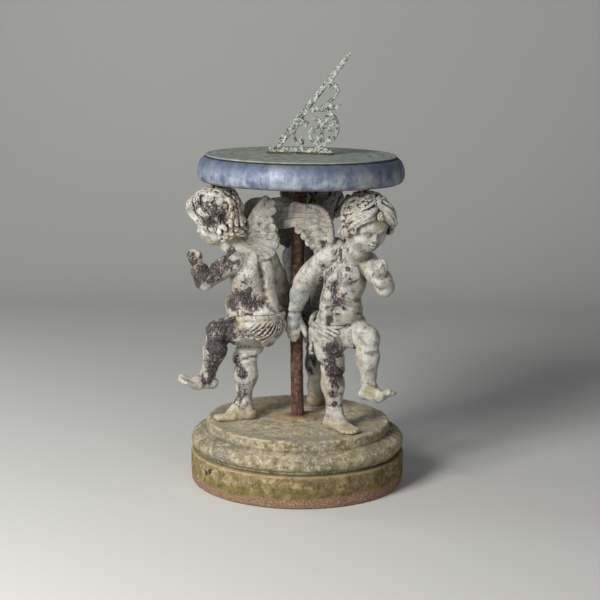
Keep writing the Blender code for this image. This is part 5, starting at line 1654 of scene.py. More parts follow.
def mortar_bed():
    """A lumpy bed round the foot of the rod."""
    rows, segments = 26, 180
    angle = np.arange(segments) * TAU / segments
    waves = (
        1.0 + 0.16 * np.sin(2 * angle + 0.6) + 0.09 * np.sin(5 * angle)
        + 0.05 * np.sin(9 * angle) + 0.03 * np.sin(17 * angle + 1)
    )
    reach = 0.056 * waves

    def ring(t, rise):
        r = ROD_HOLE + (reach - ROD_HOLE) * t
        z = np.full(segments, MORTAR_LOW) + rise
        return np.stack([np.cos(angle) * r, np.sin(angle) * r, z], 1)

    top = []
    for j in range(rows):
        t = j / (rows - 1)
        rise = 0.0052 * (1 - t) ** 0.8 * 0.6 + 0.0030 * np.sqrt(np.maximum(1 - t**3, 0.0))
        top.append(ring(t, rise + 0.0002))
    verts = np.concatenate(top)
    lumps = 0.0011 * fbm(verts, wave=0.016, octaves=4, seed=3)
    verts[:, 2] += np.where(radius_of(verts) > 0.017, lumps, 0)
    verts[:, 2] = np.maximum(verts[:, 2], MORTAR_LOW + 0.00015)
    verts = np.concatenate([verts] + [ring(t, 0.0) for t in (1.0, 0.5, 0.0)])
    groups = outward(verts, [ring_quads(rows + 3, segments, True)])
    make("mortar_bed", verts, groups, "pedestal", "rod_bedding_mortar", {})


def iron_rod():
    """The rod: pitted, and very slightly bowed."""
    outline = [  # r, z
        (0.0, ROD_FOOT), (0.0150, ROD_FOOT), (0.0155, 0.0306), (0.0155, 0.7290),
        (0.0149, 0.7298), (0.0, 0.7298),
    ]
    path = resample(outline, lambda r, z: 0.0022 if 0.03 < z < 0.7295 else 0.004)
    verts, groups = revolve(path, 64)
    free = soft(verts[:, 2], 0.160, 0.175) * soft(0.700 - verts[:, 2], 0.0, 0.02)
    lift = 0.0006 * fbm(verts, wave=0.014, octaves=3, seed=3)
    lift -= 0.0011 * soft(fbm(verts, wave=0.0075, octaves=3, seed=7), 0.05, 0.4)
    lift += 0.0004 * fbm(verts, wave=0.004, octaves=2, seed=5)
    verts = worn(verts, groups, lift * free)
    bow = np.sin(np.clip((verts[:, 2] - 0.155) / 0.55, 0, 1) * math.pi)
    verts[:, 0] -= 0.0060 * bow
    attributes = {"pit": soft(-lift, 0.0, 0.001)}
    make("iron_rod", verts, groups, "pedestal", "centre_rod", attributes)


def lead_skirt():
    """Beaten sheet lead over the table's core."""
    outer = [  # r, z
        (PIN_HOLE, 0.7858), (PIN_HOLE, 0.7893), (0.2265, 0.7893), (0.2300, 0.7879),
        (0.2370, 0.7822), (0.2425, 0.7725), (0.2456, 0.7612), (0.2465, 0.7500),
        (0.2452, 0.7400), (0.2412, 0.7333), (0.2360, 0.7305),
    ]
    inner = [
        (0.2333, 0.7305), (0.2413, 0.7405), (0.2428, 0.7540), (0.2388, 0.7712),
        (0.2273, 0.7858),
    ]
    path = rounded(outer + inner, 0.004)
    path = resample(path, lambda r, z: 0.0026 if r > 0.222 else 0.012)
    verts, groups = revolve(path, 520, loop=True)
    normals = vertex_normals(verts, groups)
    x, y, z = verts.T
    radius = radius_of(verts)
    shown = (normals[:, 0] * x + normals[:, 1] * y > 0) & (radius > 0.2286)
    theta = np.arctan2(y, x)
    unrolled = np.stack([theta * 0.24, z * 0.35, z * 0], 1)
    beat = 0.0011 * fbm(unrolled, wave=0.055, octaves=3, seed=4)
    beat += 0.0005 * fbm(verts, wave=0.022, octaves=3, seed=8)
    # dents: angle, height, size, depth
    for angle, height, size, depth in (
        (-1.9, 0.752, 0.020, 0.0012), (-1.2, 0.765, 0.026, 0.0013),
        (-0.55, 0.748, 0.020, 0.0012), (-2.6, 0.757, 0.022, 0.0012),
        (0.6, 0.757, 0.026, 0.0014), (2.0, 0.760, 0.022, 0.0012),
        (-1.45, 0.743, 0.016, 0.0010),
    ):
        away = ((theta - angle + math.pi) % TAU - math.pi) * 0.246
        beat -= depth * np.exp(-(away**2 + (z - height) ** 2) / size**2)
    lift = normals * np.minimum(beat, 0.0012)[:, None] * soft(radius, 0.2286, 0.233)[:, None]
    verts = np.where(shown[:, None], verts + lift, verts)
    attributes = {"beat": soft(beat, -0.0012, 0.0012)}
    make("lead_skirt", verts, groups, "pedestal", "dial_table_shell", attributes)


def engraved_plate():
    outline = [  # r, z
        (PIN_HOLE, PLATE_LOW), (0.2262, PLATE_LOW), (0.2270, 0.7904), (0.2270, 0.7928),
        (0.2262, PLATE_TOP), (PIN_HOLE, PLATE_TOP),
    ]
    path = resample(rounded(outline, 0.0006), lambda r, z: 0.0012 if r > 0.224 else 0.005)
    verts, groups = revolve(path, 420, loop=True)
    radius = radius_of(verts)
    dip = np.minimum(0.00022 * (fbm(verts, wave=0.06, octaves=3, seed=2) - 0.6), 0)
    verts[:, 2] += np.where(verts[:, 2] > 0.7934, dip * (radius > 0.02), 0)
    chew = 0.0006 * soft(fbm(verts, wave=0.02, octaves=4, seed=11), 0.1, 0.5)
    chew = chew * (radius > 0.2255)
    verts[:, :2] *= (1 - chew / np.maximum(radius, 0.01))[:, None]
    make("engraved_plate", verts, groups, "dial", "dial_plate", {})


plinth()
moulding()
mortar_bed()
iron_rod()
lead_skirt()
engraved_plate()

# =============================================================== gnomon, mm, in its XZ plane
GNOMON_LOW = 797.2
STYLE_FOOT = -65.0
TENON_X = (-33.0, 37.0)
TABLE_STEP = 0.4
TABLE_X, TABLE_Z = np.meshgrid(
    np.arange(-95.0, 130.0, TABLE_STEP), np.arange(788.0, 1046.0, TABLE_STEP), indexing="ij"
)


def on_style(along):
    """A point so far up the sloping style."""
    return (
        STYLE_FOOT + along * math.cos(LATITUDE),
        GNOMON_LOW + 4.0 + along * math.sin(LATITUDE),
    )


STYLE_STATIONS = (0, 20, 45, 70, 95, 120, 145, 170, 195, 215, 235, 255, 275, 290)
BIG_SCROLL = [tuple(point[:2]) for point in arc((46.0, 858.0), 40.5, 94, -66, 0, 0, 14)]
# Strips of the scrollwork: points (x, z), widths, half thickness
STRIPS = (
    ([on_style(along) for along in STYLE_STATIONS],
     [13, 14.0, 15, 15.5, 16.5, 14, 13, 11.5, 12, 13.5, 12, 10.5, 8, 3], 2.9),
    ([on_style(198), (70.0, 959.2), (80.2, 954.9), (84.9, 944.3), (77.9, 931.7),
      (65.5, 919.0), (50.3, 908.0), (30.4, 899.5), (11.0, 893.0)],
     [9, 8, 7, 6.5, 6.5, 7, 6.5, 6, 6], 2.2),
    ([(62.0, 951.0), (68.0, 955.5), (73.0, 949.0)], [3, 6.5, 3], 2.4),
    ([(48.0, 905.0), (60.0, 905.5), (70.0, 908.0), (80.0, 908.5), (91.0, 911.0)],
     [5, 9, 12, 9, 3], 2.0),
    ([(60.0, 904.0), (72.0, 902.0), (84.0, 902.5)], [4, 7, 2.5], 2.0),
    ([(14.0, 893.5), (23.2, 896.2)] + BIG_SCROLL + [(54.0, 815.0), (48.0, 808.0)],
     [4.5, 4.8] + [5.2] * 14 + [6, 6], 2.5),
    ([(56.0, 884.0), (66.0, 888.0), (71.0, 882.0)], [3, 7, 3], 2.2),
    ([(28.0, 876.8), (35.0, 877.5), (42.0, 873.5), (49.2, 863.2), (56.0, 859.0)],
     [3, 8.5, 8.0, 6.5, 4], 2.1),
    ([(48.0, 862.0), (56.0, 871.5), (64.0, 876.0), (80.0, 882.5)], [5, 5.5, 5, 4.5], 2.3),
    ([(46.0, 864.0), (56.0, 856.0), (68.0, 852.0), (86.0, 850.0)], [5, 6, 6, 4.5], 1.9),
    ([(60.0, 866.0), (68.0, 862.0), (76.0, 866.0)], [3, 6.5, 2.5], 2.0),
    ([(49.0, 865.0), (47.6, 847.0), (49.2, 832.7), (50.5, 808.0)], [6, 8.0, 7.5, 9], 2.4),
    ([(49.0, 857.5), (40.2, 858.5), (30.0, 856.0), (21.5, 848.5), (19.5, 839.1),
      (24.5, 828.0), (34.5, 817.5), (43.0, 808.5)], [4, 5, 6, 6.5, 6, 6, 6.5, 7], 2.2),
    ([(20.5, 844.0), (26.0, 846.5), (31.5, 845.5)], [4, 8.5, 3], 1.8),
    ([(36.0, 822.0), (41.0, 829.0), (38.0, 835.0)], [6, 5.5, 2.5], 2.0),
    ([(56.0, 822.0), (63.0, 828.0), (66.0, 836.0)], [6, 6, 2.5], 2.0),
    ([on_style(102), (-7.3, 867.3), (-16.3, 852.7), (-18.8, 838.2), (-14.1, 825.7),
      (-6.0, 818.0), (1.0, 818.5), (2.5, 824.5), (-3.0, 826.5)],
     [10, 9, 7.0, 6.0, 6.2, 7, 6.5, 6.5, 5.5], 2.1),
    ([(-3.0, 822.0), (-1.0, 812.0), (-2.0, 806.0)], [7, 7, 8], 2.0),
    ([on_style(86), (-3.0, 866.0), (6.0, 869.0), (15.0, 867.0)], [8, 9, 9, 3], 1.9),
    ([(-3.0, 868.0), (8.0, 862.5), (12.0, 858.0)], [5, 6.5, 2.5], 1.9),
    ([(-76.0, GNOMON_LOW + 5.4), (52.0, GNOMON_LOW + 5.4)], [10.6, 10.6], 2.8),
)


def strip(points, widths, count):
    """Distance over the table to a tapering strip along a smooth path."""
    path = flat_path(points, count)[:, :2]
    half = spread(widths, count) / 2
    best = np.full_like(TABLE_X, FAR)
    for a, b, near, far in zip(path[:-1], path[1:], half[:-1], half[1:]):
        span = b - a
        share = (TABLE_X - a[0]) * span[0] + (TABLE_Z - a[1]) * span[1]
        share = np.clip(share / max(float(span @ span), 1e-6), 0, 1)
        away = np.hypot(TABLE_X - a[0] - share * span[0], TABLE_Z - a[1] - share * span[1])
        best = np.minimum(best, away - (near + (far - near) * share))
    return best


def gnomon_tables():
    """Outline distance and half thickness over the table."""
    best = np.full_like(TABLE_X, FAR)
    thick = np.full_like(TABLE_X, 2.0)
    for points, widths, half in STRIPS:
        away = strip(points, widths, max(24, len(points) * 5))
        thick = np.where(away < best, half, thick)
        best = smooth_low(best, away, 2.2)
    flat = np.stack([TABLE_X.ravel(), TABLE_Z.ravel(), TABLE_X.ravel() * 0], 1)
    ragged = fbm(flat, wave=9.0, octaves=4, seed=3).reshape(TABLE_X.shape)
    eaten = fbm(flat, wave=13.0, octaves=3, seed=9).reshape(TABLE_X.shape)
    best = best - 0.95 + 0.55 * ragged + 0.8 * soft(eaten, 0.25, 0.6)
    # leaf serrations along the style
    x, z = TABLE_X - STYLE_FOOT, TABLE_Z - GNOMON_LOW - 4
    along = x * math.cos(LATITUDE) + z * math.sin(LATITUDE)
    off = -x * math.sin(LATITUDE) + z * math.cos(LATITUDE)
    nick = np.maximum(0, np.sin(along * TAU / 17.0 + np.sign(off) * 0.8))
    nick = 0.9 * nick * soft(np.abs(off), 2, 6)
    best = best + np.where((np.abs(off) < 9) & (along < 292), nick, 0)
    return np.maximum(best, (GNOMON_LOW + 0.1) - TABLE_Z), thick


def box(grid, centre, half):
    x, y, z = (np.abs(axis - mid) - size for axis, mid, size in zip(grid.whole(), centre, half))
    return np.maximum(np.maximum(x, y), z)


def gnomon():
    outline, thick = gnomon_tables()
    grid = Grid(vec(-88, -6.5, 792), vec(124, 6.5, 1042), 0.85)
    x, y, z = grid.whole()
    i = np.clip((grid.axes[0] - TABLE_X[0, 0]) / TABLE_STEP, 0, TABLE_X.shape[0] - 1.01)
    j = np.clip((grid.axes[2] - TABLE_Z[0, 0]) / TABLE_STEP, 0, TABLE_X.shape[1] - 1.01)
    i, j = i[:, None], j[None, :]
    plane, half = read_sheet(outline, i, j), read_sheet(thick, i, j)
    rib = 0.5 * np.clip(-plane / 3.0, 0, 1)
    field = smooth_high(plane[:, None, :], np.abs(y) - (half + rib)[:, None, :], 1.8)
    field = field.astype(np.float32)
    # block with a sloping top at the +X end of the foot
    block = box(grid, (59.9, 0.0, GNOMON_LOW + 6.4), (15.6, 4.5, 6.3))
    slope = (x - 59.9) * 0.62 + (z - GNOMON_LOW - 12.0) * 0.79
    block = np.maximum(block, slope - 3.2)
    field = smooth_low(field, block.astype(np.float32), 1.5)
    field = field + 0.34 * grid.noise(3.2, 2) + 0.42 * grid.noise(8.0, 1)
    for tenon_x in TENON_X:
        tenon = box(grid, (tenon_x, 0.0, 798.5), (7.0, 2.2, 3.8))
        field = np.minimum(field, tenon.astype(np.float32))
    near_tenon = (np.abs(x - TENON_X[0]) < 7.2) | (np.abs(x - TENON_X[1]) < 7.2)
    below = (z < GNOMON_LOW) & ~(near_tenon & (np.abs(y) < 2.4))
    field = np.where(below, np.maximum(field, GNOMON_LOW - z), field).astype(np.float32)
    verts, quads = surface(field, grid)
    attributes = {"cavity": np.clip(cavity_of(verts, quads, 3) / 0.5, -1, 1)}
    make("scroll_gnomon", to_metres(verts, GNOMON_YAW), [quads], "dial",
         "gnomon", attributes)


gnomon()


# =============================================================== materials
def linear(colour):
    """An sRGB colour of 0 to 255, as linear RGBA."""
    out = []
    for value in colour:
        value = value / 255.0
        out.append(value / 12.92 if value <= 0.04045 else ((value + 0.055) / 1.055) ** 2.4)
    return (*out, 1.0)


class Mat:
    """A node material in object coordinates, whose colour is built up in coats.

    A noise's grain is (scale, detail, roughness, distortion); the last may be left out.
    """

    def __init__(self, name):
        self.material = bpy.data.materials.new(name)
        self.material.use_nodes = True
        self.tree = self.material.node_tree
        self.tree.nodes.clear()
        out = self.node("OutputMaterial")
        self.bsdf = self.node("BsdfPrincipled")
        self.tree.links.new(self.bsdf.outputs[0], out.inputs[0])
        self.xyz = self.node("TexCoord").outputs["Object"]
        self.colour = None

    def node(self, kind):
        return self.tree.nodes.new("ShaderNode" + kind)

    def put(self, socket, value):
        if isinstance(value, bpy.types.NodeSocket):
            self.tree.links.new(value, socket)
        elif isinstance(value, tuple) and len(value) == 3 and socket.type == "RGBA":
            socket.default_value = linear(value)
        else:
            socket.default_value = value

    def noise(self, grain, where=None):
        node = self.node("TexNoise")
        self.put(node.inputs["Vector"], where or self.xyz)
        for key, value in zip(("Scale", "Detail", "Roughness", "Distortion"), (*grain, 0.0)):
            node.inputs[key].default_value = value
        return node.outputs["Fac"]

    def noises(self, *grains, where=None):
        return [self.noise(grain, where) for grain in grains]

    def patches(self, grain, edge, shift=None, squeeze=(1, 1, 1)):
        """A mask of patches: noise cut between the two values of edge."""
        where = None if shift is None else self.stretch(squeeze, shift)
        return self.step(self.noise(grain, where), *edge)

    def cells(self, scale):
        node = self.node("TexVoronoi")
        self.put(node.inputs["Vector"], self.xyz)
        node.inputs["Scale"].default_value = scale
        return node.outputs["Distance"]

    def stretch(self, scale, shift=(0.0, 0.0, 0.0)):
        node = self.node("Mapping")
        self.put(node.inputs["Vector"], self.xyz)
        node.inputs["Scale"].default_value = scale
        node.inputs["Location"].default_value = shift
        return node.outputs[0]

    def axis(self, name):
        node = self.node("SeparateXYZ")
        self.put(node.inputs[0], self.xyz)
        return node.outputs[name]

    def attr(self, name):
        node = self.node("Attribute")
        node.attribute_name = name
        return node.outputs["Fac"]

    def math(self, operation, first, second=0.0, clamp=False):
        node = self.node("Math")
        node.operation = operation
        node.use_clamp = clamp
        self.put(node.inputs[0], first)
        self.put(node.inputs[1], second)
        return node.outputs[0]

    def add(self, total, *terms):
        for term in terms:
            total = self.math("ADD", total, term)
        return total

    def times(self, first, second):
        return self.math("MULTIPLY", first, second)

    def jitter(self, noise, amount):
        """Noise centred on 0 and scaled."""
        return self.times(self.math("SUBTRACT", noise, 0.5), amount)

    def hypot(self, first, second):
        squares = self.add(self.math("POWER", first, 2.0), self.math("POWER", second, 2.0))
        return self.math("SQRT", squares)

    def radius(self):
        return self.hypot(self.axis("X"), self.axis("Y"))

    def step(self, value, start, end, low=0.0, high=1.0):
        """A smooth step from low at start to high at end."""
        node = self.node("MapRange")
        node.interpolation_type = "SMOOTHSTEP"
        node.clamp = True
        self.put(node.inputs["Value"], value)
        node.inputs["From Min"].default_value = start
        node.inputs["From Max"].default_value = end
        node.inputs["To Min"].default_value = low
        node.inputs["To Max"].default_value = high
        return node.outputs[0]

    def ramp(self, value, *stops):
        """A colour ramp through stops of (position, colour)."""
        node = self.node("ValToRGB")
        self.put(node.inputs[0], value)
        elements = node.color_ramp.elements
        while len(elements) < len(stops):
            elements.new(0.5)
        for element, (position, colour) in zip(elements, stops):
            element.position = position
            element.color = linear(colour)
        return node.outputs[0]

    def coat(self, mask, tone, share=None, mode="MIX"):
        """Lays a tone over the colour where the mask is, at a share of full strength."""
        node = self.node("Mix")
        node.data_type = "RGBA"
        node.blend_type = mode
        self.put(node.inputs[0], mask if share is None else self.times(mask, share))
        self.put(node.inputs[6], self.colour)
        self.put(node.inputs[7], tone)
        self.colour = node.outputs[2]

    def relief(self, *parts):
        """A bump height from parts of (field, weight)."""
        return self.add(*[self.times(field, weight) for field, weight in parts])

    def done(self, height, strength, distance, rough, metal=0.0, specular=0.3):
        """Ends the material with a bump of some strength and distance."""
        bump = self.node("Bump")
        bump.inputs["Strength"].default_value = strength
        bump.inputs["Distance"].default_value = distance
        self.put(bump.inputs["Height"], height)
        for key, value in (
            ("Base Color", self.colour), ("Roughness", rough), ("Metallic", metal),
            ("Specular IOR Level", specular), ("Normal", bump.outputs[0]),
        ):
            self.put(self.bsdf.inputs[key], value)
        return self.material


def cast_lead(name, seed):
    """Old lead: a chalky bloom over bare, purplish metal, with algae low down."""
    mat = Mat(name)
    where = mat.stretch((1, 1, 1), (seed * 0.37, seed * 0.21, seed * 0.11))
    big, mid, fine, grit = mat.noises(
        (11, 4, 0.6, 0.4), (48, 8, 0.66, 0.2), (230, 6, 0.62), (1150, 3, 0.6), where=where
    )
    mat.colour = mat.ramp(
        mid, (0.34, (126, 121, 112)), (0.44, (168, 164, 155)), (0.53, (193, 190, 181)),
        (0.62, (208, 205, 196)), (0.72, (224, 221, 212)),
    )
    cool = mat.ramp(
        mid, (0.34, (112, 119, 127)), (0.50, (152, 160, 167)), (0.66, (192, 196, 196))
    )
    blue = mat.add(mat.attr("blue"), mat.jitter(big, 2.2), mat.jitter(mid, 1.4))
    mat.coat(mat.step(blue, 0.15, 0.95, high=0.85), cool)
    buff = mat.step(mat.add(big, mat.times(fine, 0.35)), 0.66, 0.86)
    mat.coat(buff, (184, 168, 134), share=0.50)
    grime = mat.patches((70, 9, 0.80, 0.6), (0.52, 0.64), (5.0, seed, 3.0), (1, 1, 0.45))
    mat.coat(grime, (112, 104, 96), share=0.50)
    crust = mat.patches((240, 7, 0.8), (0.54, 0.62), (1.0, 4.0, seed), (1, 1, 0.8))
    mat.coat(crust, (98, 90, 84), share=0.42)
    # dirt and painted shade in the hollows and creases, rubbed high places
    darkening = mat.add(mat.attr("hollow"), mat.jitter(fine, 1.1), mat.jitter(mid, 0.9))
    dirt_and_shade_tone = mat.ramp(mid, (0.35, (62, 54, 48)), (0.6, (100, 92, 82)))
    mat.coat(mat.step(darkening, 0.24, 0.80), dirt_and_shade_tone, share=0.78)
    crease = mat.step(mat.add(mat.attr("cavity"), mat.jitter(fine, 0.6)), 0.08, 0.42)
    mat.coat(crease, (58, 50, 46), share=0.84)
    proud = mat.step(mat.times(mat.attr("cavity"), -1.0), 0.12, 0.6)
    mat.coat(proud, (224, 219, 203), share=0.5)
    # bare metal with a halo
    runs = mat.stretch((1, 1, 0.66), (seed * 0.9, 2.0, seed * 0.4))
    runs = mat.noise((40, 10, 0.80, 0.6), runs)
    crumbs = mat.stretch((1, 1, 0.8), (seed * 0.3, seed, 1.0))
    crumbs = mat.noise((210, 8, 0.80, 0.3), crumbs)
    bare_field = mat.add(
        mat.times(mat.attr("bare"), 0.70),
        mat.step(mat.attr("bare"), 0.02, 0.30, low=-0.18, high=0.0),
        mat.jitter(runs, 4.6),
        mat.jitter(crumbs, 2.4),
    )
    bare = mat.step(bare_field, 0.46, 0.56)
    mat.coat(mat.step(bare_field, 0.12, 0.50), (124, 112, 106), share=0.42)
    metal_tone = mat.ramp(
        mat.relief((fine, 0.6), (mid, 0.4)),
        (0.38, (33, 31, 36)), (0.46, (53, 49, 55)), (0.52, (72, 65, 68)),
        (0.58, (96, 82, 78)), (0.68, (130, 122, 116)),
    )
    mat.coat(bare, metal_tone)
    # pale flecks left on the bare metal, dark pits in the bloom
    flecks = mat.times(mat.step(mat.noise((340, 4, 0.7), where), 0.585, 0.64), bare)
    mat.coat(flecks, (190, 180, 160), share=0.85)
    pits = mat.noise((300, 5, 0.72), mat.stretch((1, 1, 1), (3.1, seed * 1.7, 0.4)))
    pits = mat.add(pits, mat.times(mat.attr("speck"), 0.075), mat.jitter(big, 0.3))
    pits = mat.step(pits, 0.630, 0.665)
    mat.coat(pits, (58, 49, 48), share=0.85)
    # algae and warm staining
    green = mat.add(mat.attr("green"), mat.times(mid, 0.8), mat.times(fine, 0.25))
    green_tone = mat.ramp(
        fine, (0.35, (112, 112, 62)), (0.55, (160, 156, 98)), (0.7, (186, 180, 128))
    )
    mat.coat(mat.step(green, 0.95, 1.5), green_tone, share=0.70)
    warm = mat.add(mat.attr("buff"), mat.jitter(mid, 1.6), mat.jitter(big, 1.2))
    warm_tone = mat.ramp(fine, (0.40, (160, 138, 100)), (0.60, (198, 180, 140)))
    mat.coat(mat.step(warm, 0.25, 0.95), warm_tone, share=0.62)
    # the tone darkens whole putti and parts; on the rear putto and the tops of the heads and wings
    # it is painted shade
    dark = mat.math("SUBTRACT", 1.0, mat.times(mat.attr("tone"), 0.30), clamp=True)
    shade = mat.node("CombineColor")
    for k in range(3):
        mat.put(shade.inputs[k], dark)
    mat.coat(1.0, shade.outputs[0], mode="MULTIPLY")
    rough = mat.math("SUBTRACT", mat.times(fine, 0.12), mat.times(bare, 0.16))
    height = mat.relief(
        (mid, 0.8), (fine, 0.45), (grit, 0.16), (bare, -0.22), (pits, -0.25), (flecks, 0.12)
    )
    return mat.done(
        height, strength=0.95, distance=0.0022, rough=mat.add(rough, 0.80),
        metal=mat.times(bare, 0.18), specular=0.25,
    )


def stone(name, *tones):
    """A stone material's start: its ground colour, and its noises from big to grit."""
    mat = Mat(name)
    noises = mat.noises((9, 5, 0.62, 0.5), (42, 8, 0.68, 0.2), (210, 6, 0.65), (900, 3, 0.6))
    mat.colour = mat.ramp(noises[1], *tones)
    return mat, *noises


def stone_done(mat, height, fine, rough):
    rough = mat.step(fine, 0.3, 0.7, *rough)
    return mat.done(height, strength=1.0, distance=0.0030, rough=rough, specular=0.2)


def base_stone():
    mat, big, mid, fine, grit = stone(
        "base_stone_weathered", (0.34, (112, 100, 76)), (0.45, (154, 140, 112)),
        (0.55, (186, 173, 144)), (0.66, (214, 202, 176)),
    )
    z, top = mat.axis("Z"), mat.attr("top")
    side = mat.math("SUBTRACT", 1.0, top, clamp=True)
    # grey lichen film, moss, pale, pink and dark patches
    grey = mat.step(mat.add(big, mat.times(mid, 0.5)), 0.70, 0.86)
    mat.coat(grey, mat.ramp(fine, (0.35, (104, 100, 90)), (0.6, (146, 142, 130))), share=0.78)
    moss = mat.noise((17, 7, 0.66, 0.6), mat.stretch((1, 1, 1.6), (2.0, 5.0, 1.0)))
    moss = mat.step(mat.add(moss, mat.times(fine, 0.18)), 0.59, 0.73)
    moss_tone = mat.ramp(
        fine, (0.35, (92, 86, 44)), (0.55, (134, 124, 72)), (0.7, (166, 152, 104))
    )
    mat.coat(moss, moss_tone, share=mat.step(side, 0.0, 1.0, low=0.72, high=0.50))
    pale = mat.patches((30, 9, 0.78, 0.3), (0.53, 0.62), shift=(9.0, 1.0, 4.0))
    mat.coat(pale, (218, 206, 176), share=0.62)
    pink = mat.patches((23, 6, 0.65, 0.4), (0.57, 0.66), shift=(4.0, 7.0, 2.0))
    mat.coat(mat.times(pink, top), (168, 124, 100), share=0.55)
    dark = mat.patches((60, 9, 0.76, 0.3), (0.53, 0.66), shift=(1.0, 3.0, 8.0))
    mat.coat(dark, (76, 68, 50), share=0.62)
    light = mat.patches((85, 9, 0.80, 0.3), (0.52, 0.60), shift=(6.0, 1.0, 2.0))
    mat.coat(light, (226, 216, 188), share=0.72)
    specks = mat.patches((260, 8, 0.8), (0.54, 0.60), shift=(2.0, 6.0, 3.0))
    mat.coat(specks, (84, 74, 56), share=0.62)
    # grey band round the top
    radius = mat.radius()
    band = mat.times(
        mat.step(mat.add(radius, mat.jitter(mid, 0.10)), 0.172, 0.190),
        mat.step(mat.add(radius, mat.jitter(mid, 0.05)), 0.206, 0.216, low=1.0, high=0.0),
    )
    band_tone = mat.ramp(fine, (0.40, (104, 98, 92)), (0.60, (142, 134, 126)))
    mat.coat(mat.times(band, top), band_tone, share=0.60)
    mat.coat(mat.attr("crack"), (78, 60, 44), share=0.8)
    # dark line in the cove under the step, and darker just above the joint
    groove = mat.math("ABSOLUTE", mat.math("SUBTRACT", z, 0.1262))
    groove = mat.times(
        mat.step(groove, 0.0, 0.006, low=1.0, high=0.0),
        mat.step(mat.radius(), 0.2238, 0.2300, low=0.5, high=0.0),
    )
    joint = mat.step(mat.add(z, mat.jitter(mid, 0.006)), 0.0795, 0.0835, low=1.0, high=0.0)
    mat.coat(mat.math("ADD", groove, mat.times(joint, 0.55), clamp=True), (58, 50, 38))
    mat.coat(mat.attr("worn"), (196, 180, 146), share=0.55)
    # painted light: the sides a little darker and the top a little lighter
    mat.coat(mat.step(top, 0.0, 1.0, low=0.15, high=0.0), (74, 66, 50))
    mat.coat(top, (224, 214, 188), share=0.15)
    holes = mat.patches((330, 4, 0.7), (0.66, 0.72))
    mat.coat(holes, (70, 60, 46), share=0.7)
    height = mat.relief((mid, 0.9), (fine, 0.5), (grit, 0.2), (holes, -0.35), (moss, 0.2))
    return stone_done(mat, height, fine, rough=(0.86, 0.96))


def plinth_stone():
    mat, big, mid, fine, grit = stone(
        "plinth_stone_weathered", (0.32, (96, 82, 54)), (0.46, (134, 118, 84)),
        (0.58, (160, 142, 106)), (0.72, (184, 166, 128)),
    )
    z, aggregate = mat.axis("Z"), mat.attr("aggregate")
    lower = mat.step(mat.add(z, mat.times(big, 0.03)), 0.030, 0.062, low=1.0, high=0.0)
    moss = mat.noise((19, 7, 0.68, 0.5), mat.stretch((1, 1, 0.8), (6.0, 2.0, 3.0)))
    moss = mat.step(mat.add(moss, mat.times(lower, 0.16), mat.times(fine, 0.15)), 0.66, 0.80)
    moss_tone = mat.ramp(
        fine, (0.35, (84, 78, 34)), (0.52, (122, 110, 52)), (0.7, (160, 144, 86))
    )
    mat.coat(moss, moss_tone, share=0.75)
    pale = mat.patches((24, 7, 0.7, 0.4), (0.53, 0.62), (1.0, 8.0, 2.0), (1, 1, 1.3))
    mat.coat(pale, (212, 190, 142), share=0.80)
    dark = mat.patches((52, 8, 0.76, 0.3), (0.54, 0.65), (7.0, 3.0, 5.0), (1, 1, 0.7))
    mat.coat(dark, (62, 52, 34), share=0.72)
    light = mat.patches((70, 9, 0.78, 0.3), (0.53, 0.63), shift=(3.0, 9.0, 2.0))
    mat.coat(light, (206, 188, 142), share=0.55)
    drips = mat.patches((1, 8, 0.8, 0.4), (0.53, 0.62), (4.0, 1.0, 2.0), (110, 110, 26))
    mat.coat(drips, (70, 60, 38), share=0.55)
    specks = mat.patches((240, 8, 0.8), (0.53, 0.60), shift=(5.0, 6.0, 3.0))
    mat.coat(specks, (66, 56, 38), share=0.60)
    rim = mat.step(mat.add(z, mat.jitter(mid, 0.012)), 0.0715, 0.0760)
    mat.coat(rim, (204, 186, 146), share=0.55)
    low_moss = mat.times(
        mat.step(mat.add(z, mat.jitter(mid, 0.06)), 0.020, 0.030),
        mat.step(mat.add(z, mat.jitter(mid, 0.06)), 0.036, 0.050, low=1.0, high=0.0),
    )
    low_tone = mat.ramp(fine, (0.40, (88, 84, 34)), (0.60, (132, 124, 62)))
    mat.coat(low_moss, low_tone, share=0.55)
    # painted shade: darker toward +X, the side away from the key lamp
    far = mat.step(mat.add(mat.axis("X"), mat.jitter(big, 0.2)), -0.15, 0.12, high=0.42)
    mat.coat(far, mat.ramp(mid, (0.35, (58, 46, 28)), (0.6, (112, 92, 58))))
    grain = mat.cells(330)
    tone = mat.ramp(
        mat.relief((grain, 0.5), (fine, 0.5)),
        (0.25, (108, 80, 66)), (0.45, (150, 116, 96)), (0.65, (182, 152, 128)),
    )
    mat.coat(aggregate, tone, share=0.85)
    joint = mat.step(mat.math("SUBTRACT", 0.0785, z), 0.0, 0.003, low=1.0, high=0.0)
    mat.coat(joint, (48, 42, 34), share=0.5)
    # painted shade: the plinth's whole upright side made a little darker
    mat.coat(0.13, (62, 54, 38))
    holes = mat.patches((300, 4, 0.7), (0.64, 0.71))
    mat.coat(holes, (60, 50, 36), share=0.75)
    # two dark spots on the side
    spots = None
    for place in ((-0.2045, -0.1600, 0.058), (-0.214, -0.147, 0.050)):
        node = mat.node("VectorMath")
        node.operation = "DISTANCE"
        mat.put(node.inputs[0], mat.xyz)
        node.inputs[1].default_value = place
        away = mat.add(node.outputs["Value"], mat.jitter(mid, 0.012))
        spot = mat.step(away, 0.0045, 0.0080, low=1.0, high=0.0)
        spots = spot if spots is None else mat.math("MAXIMUM", spots, spot)
    mat.coat(spots, (40, 34, 28), share=0.85)
    height = mat.relief(
        (mid, 0.9), (fine, 0.6), (grit, 0.25), (holes, -0.5),
        (mat.times(grain, aggregate), 0.8), (spots, -0.8),
    )
    return stone_done(mat, height, fine, rough=(0.88, 0.97))


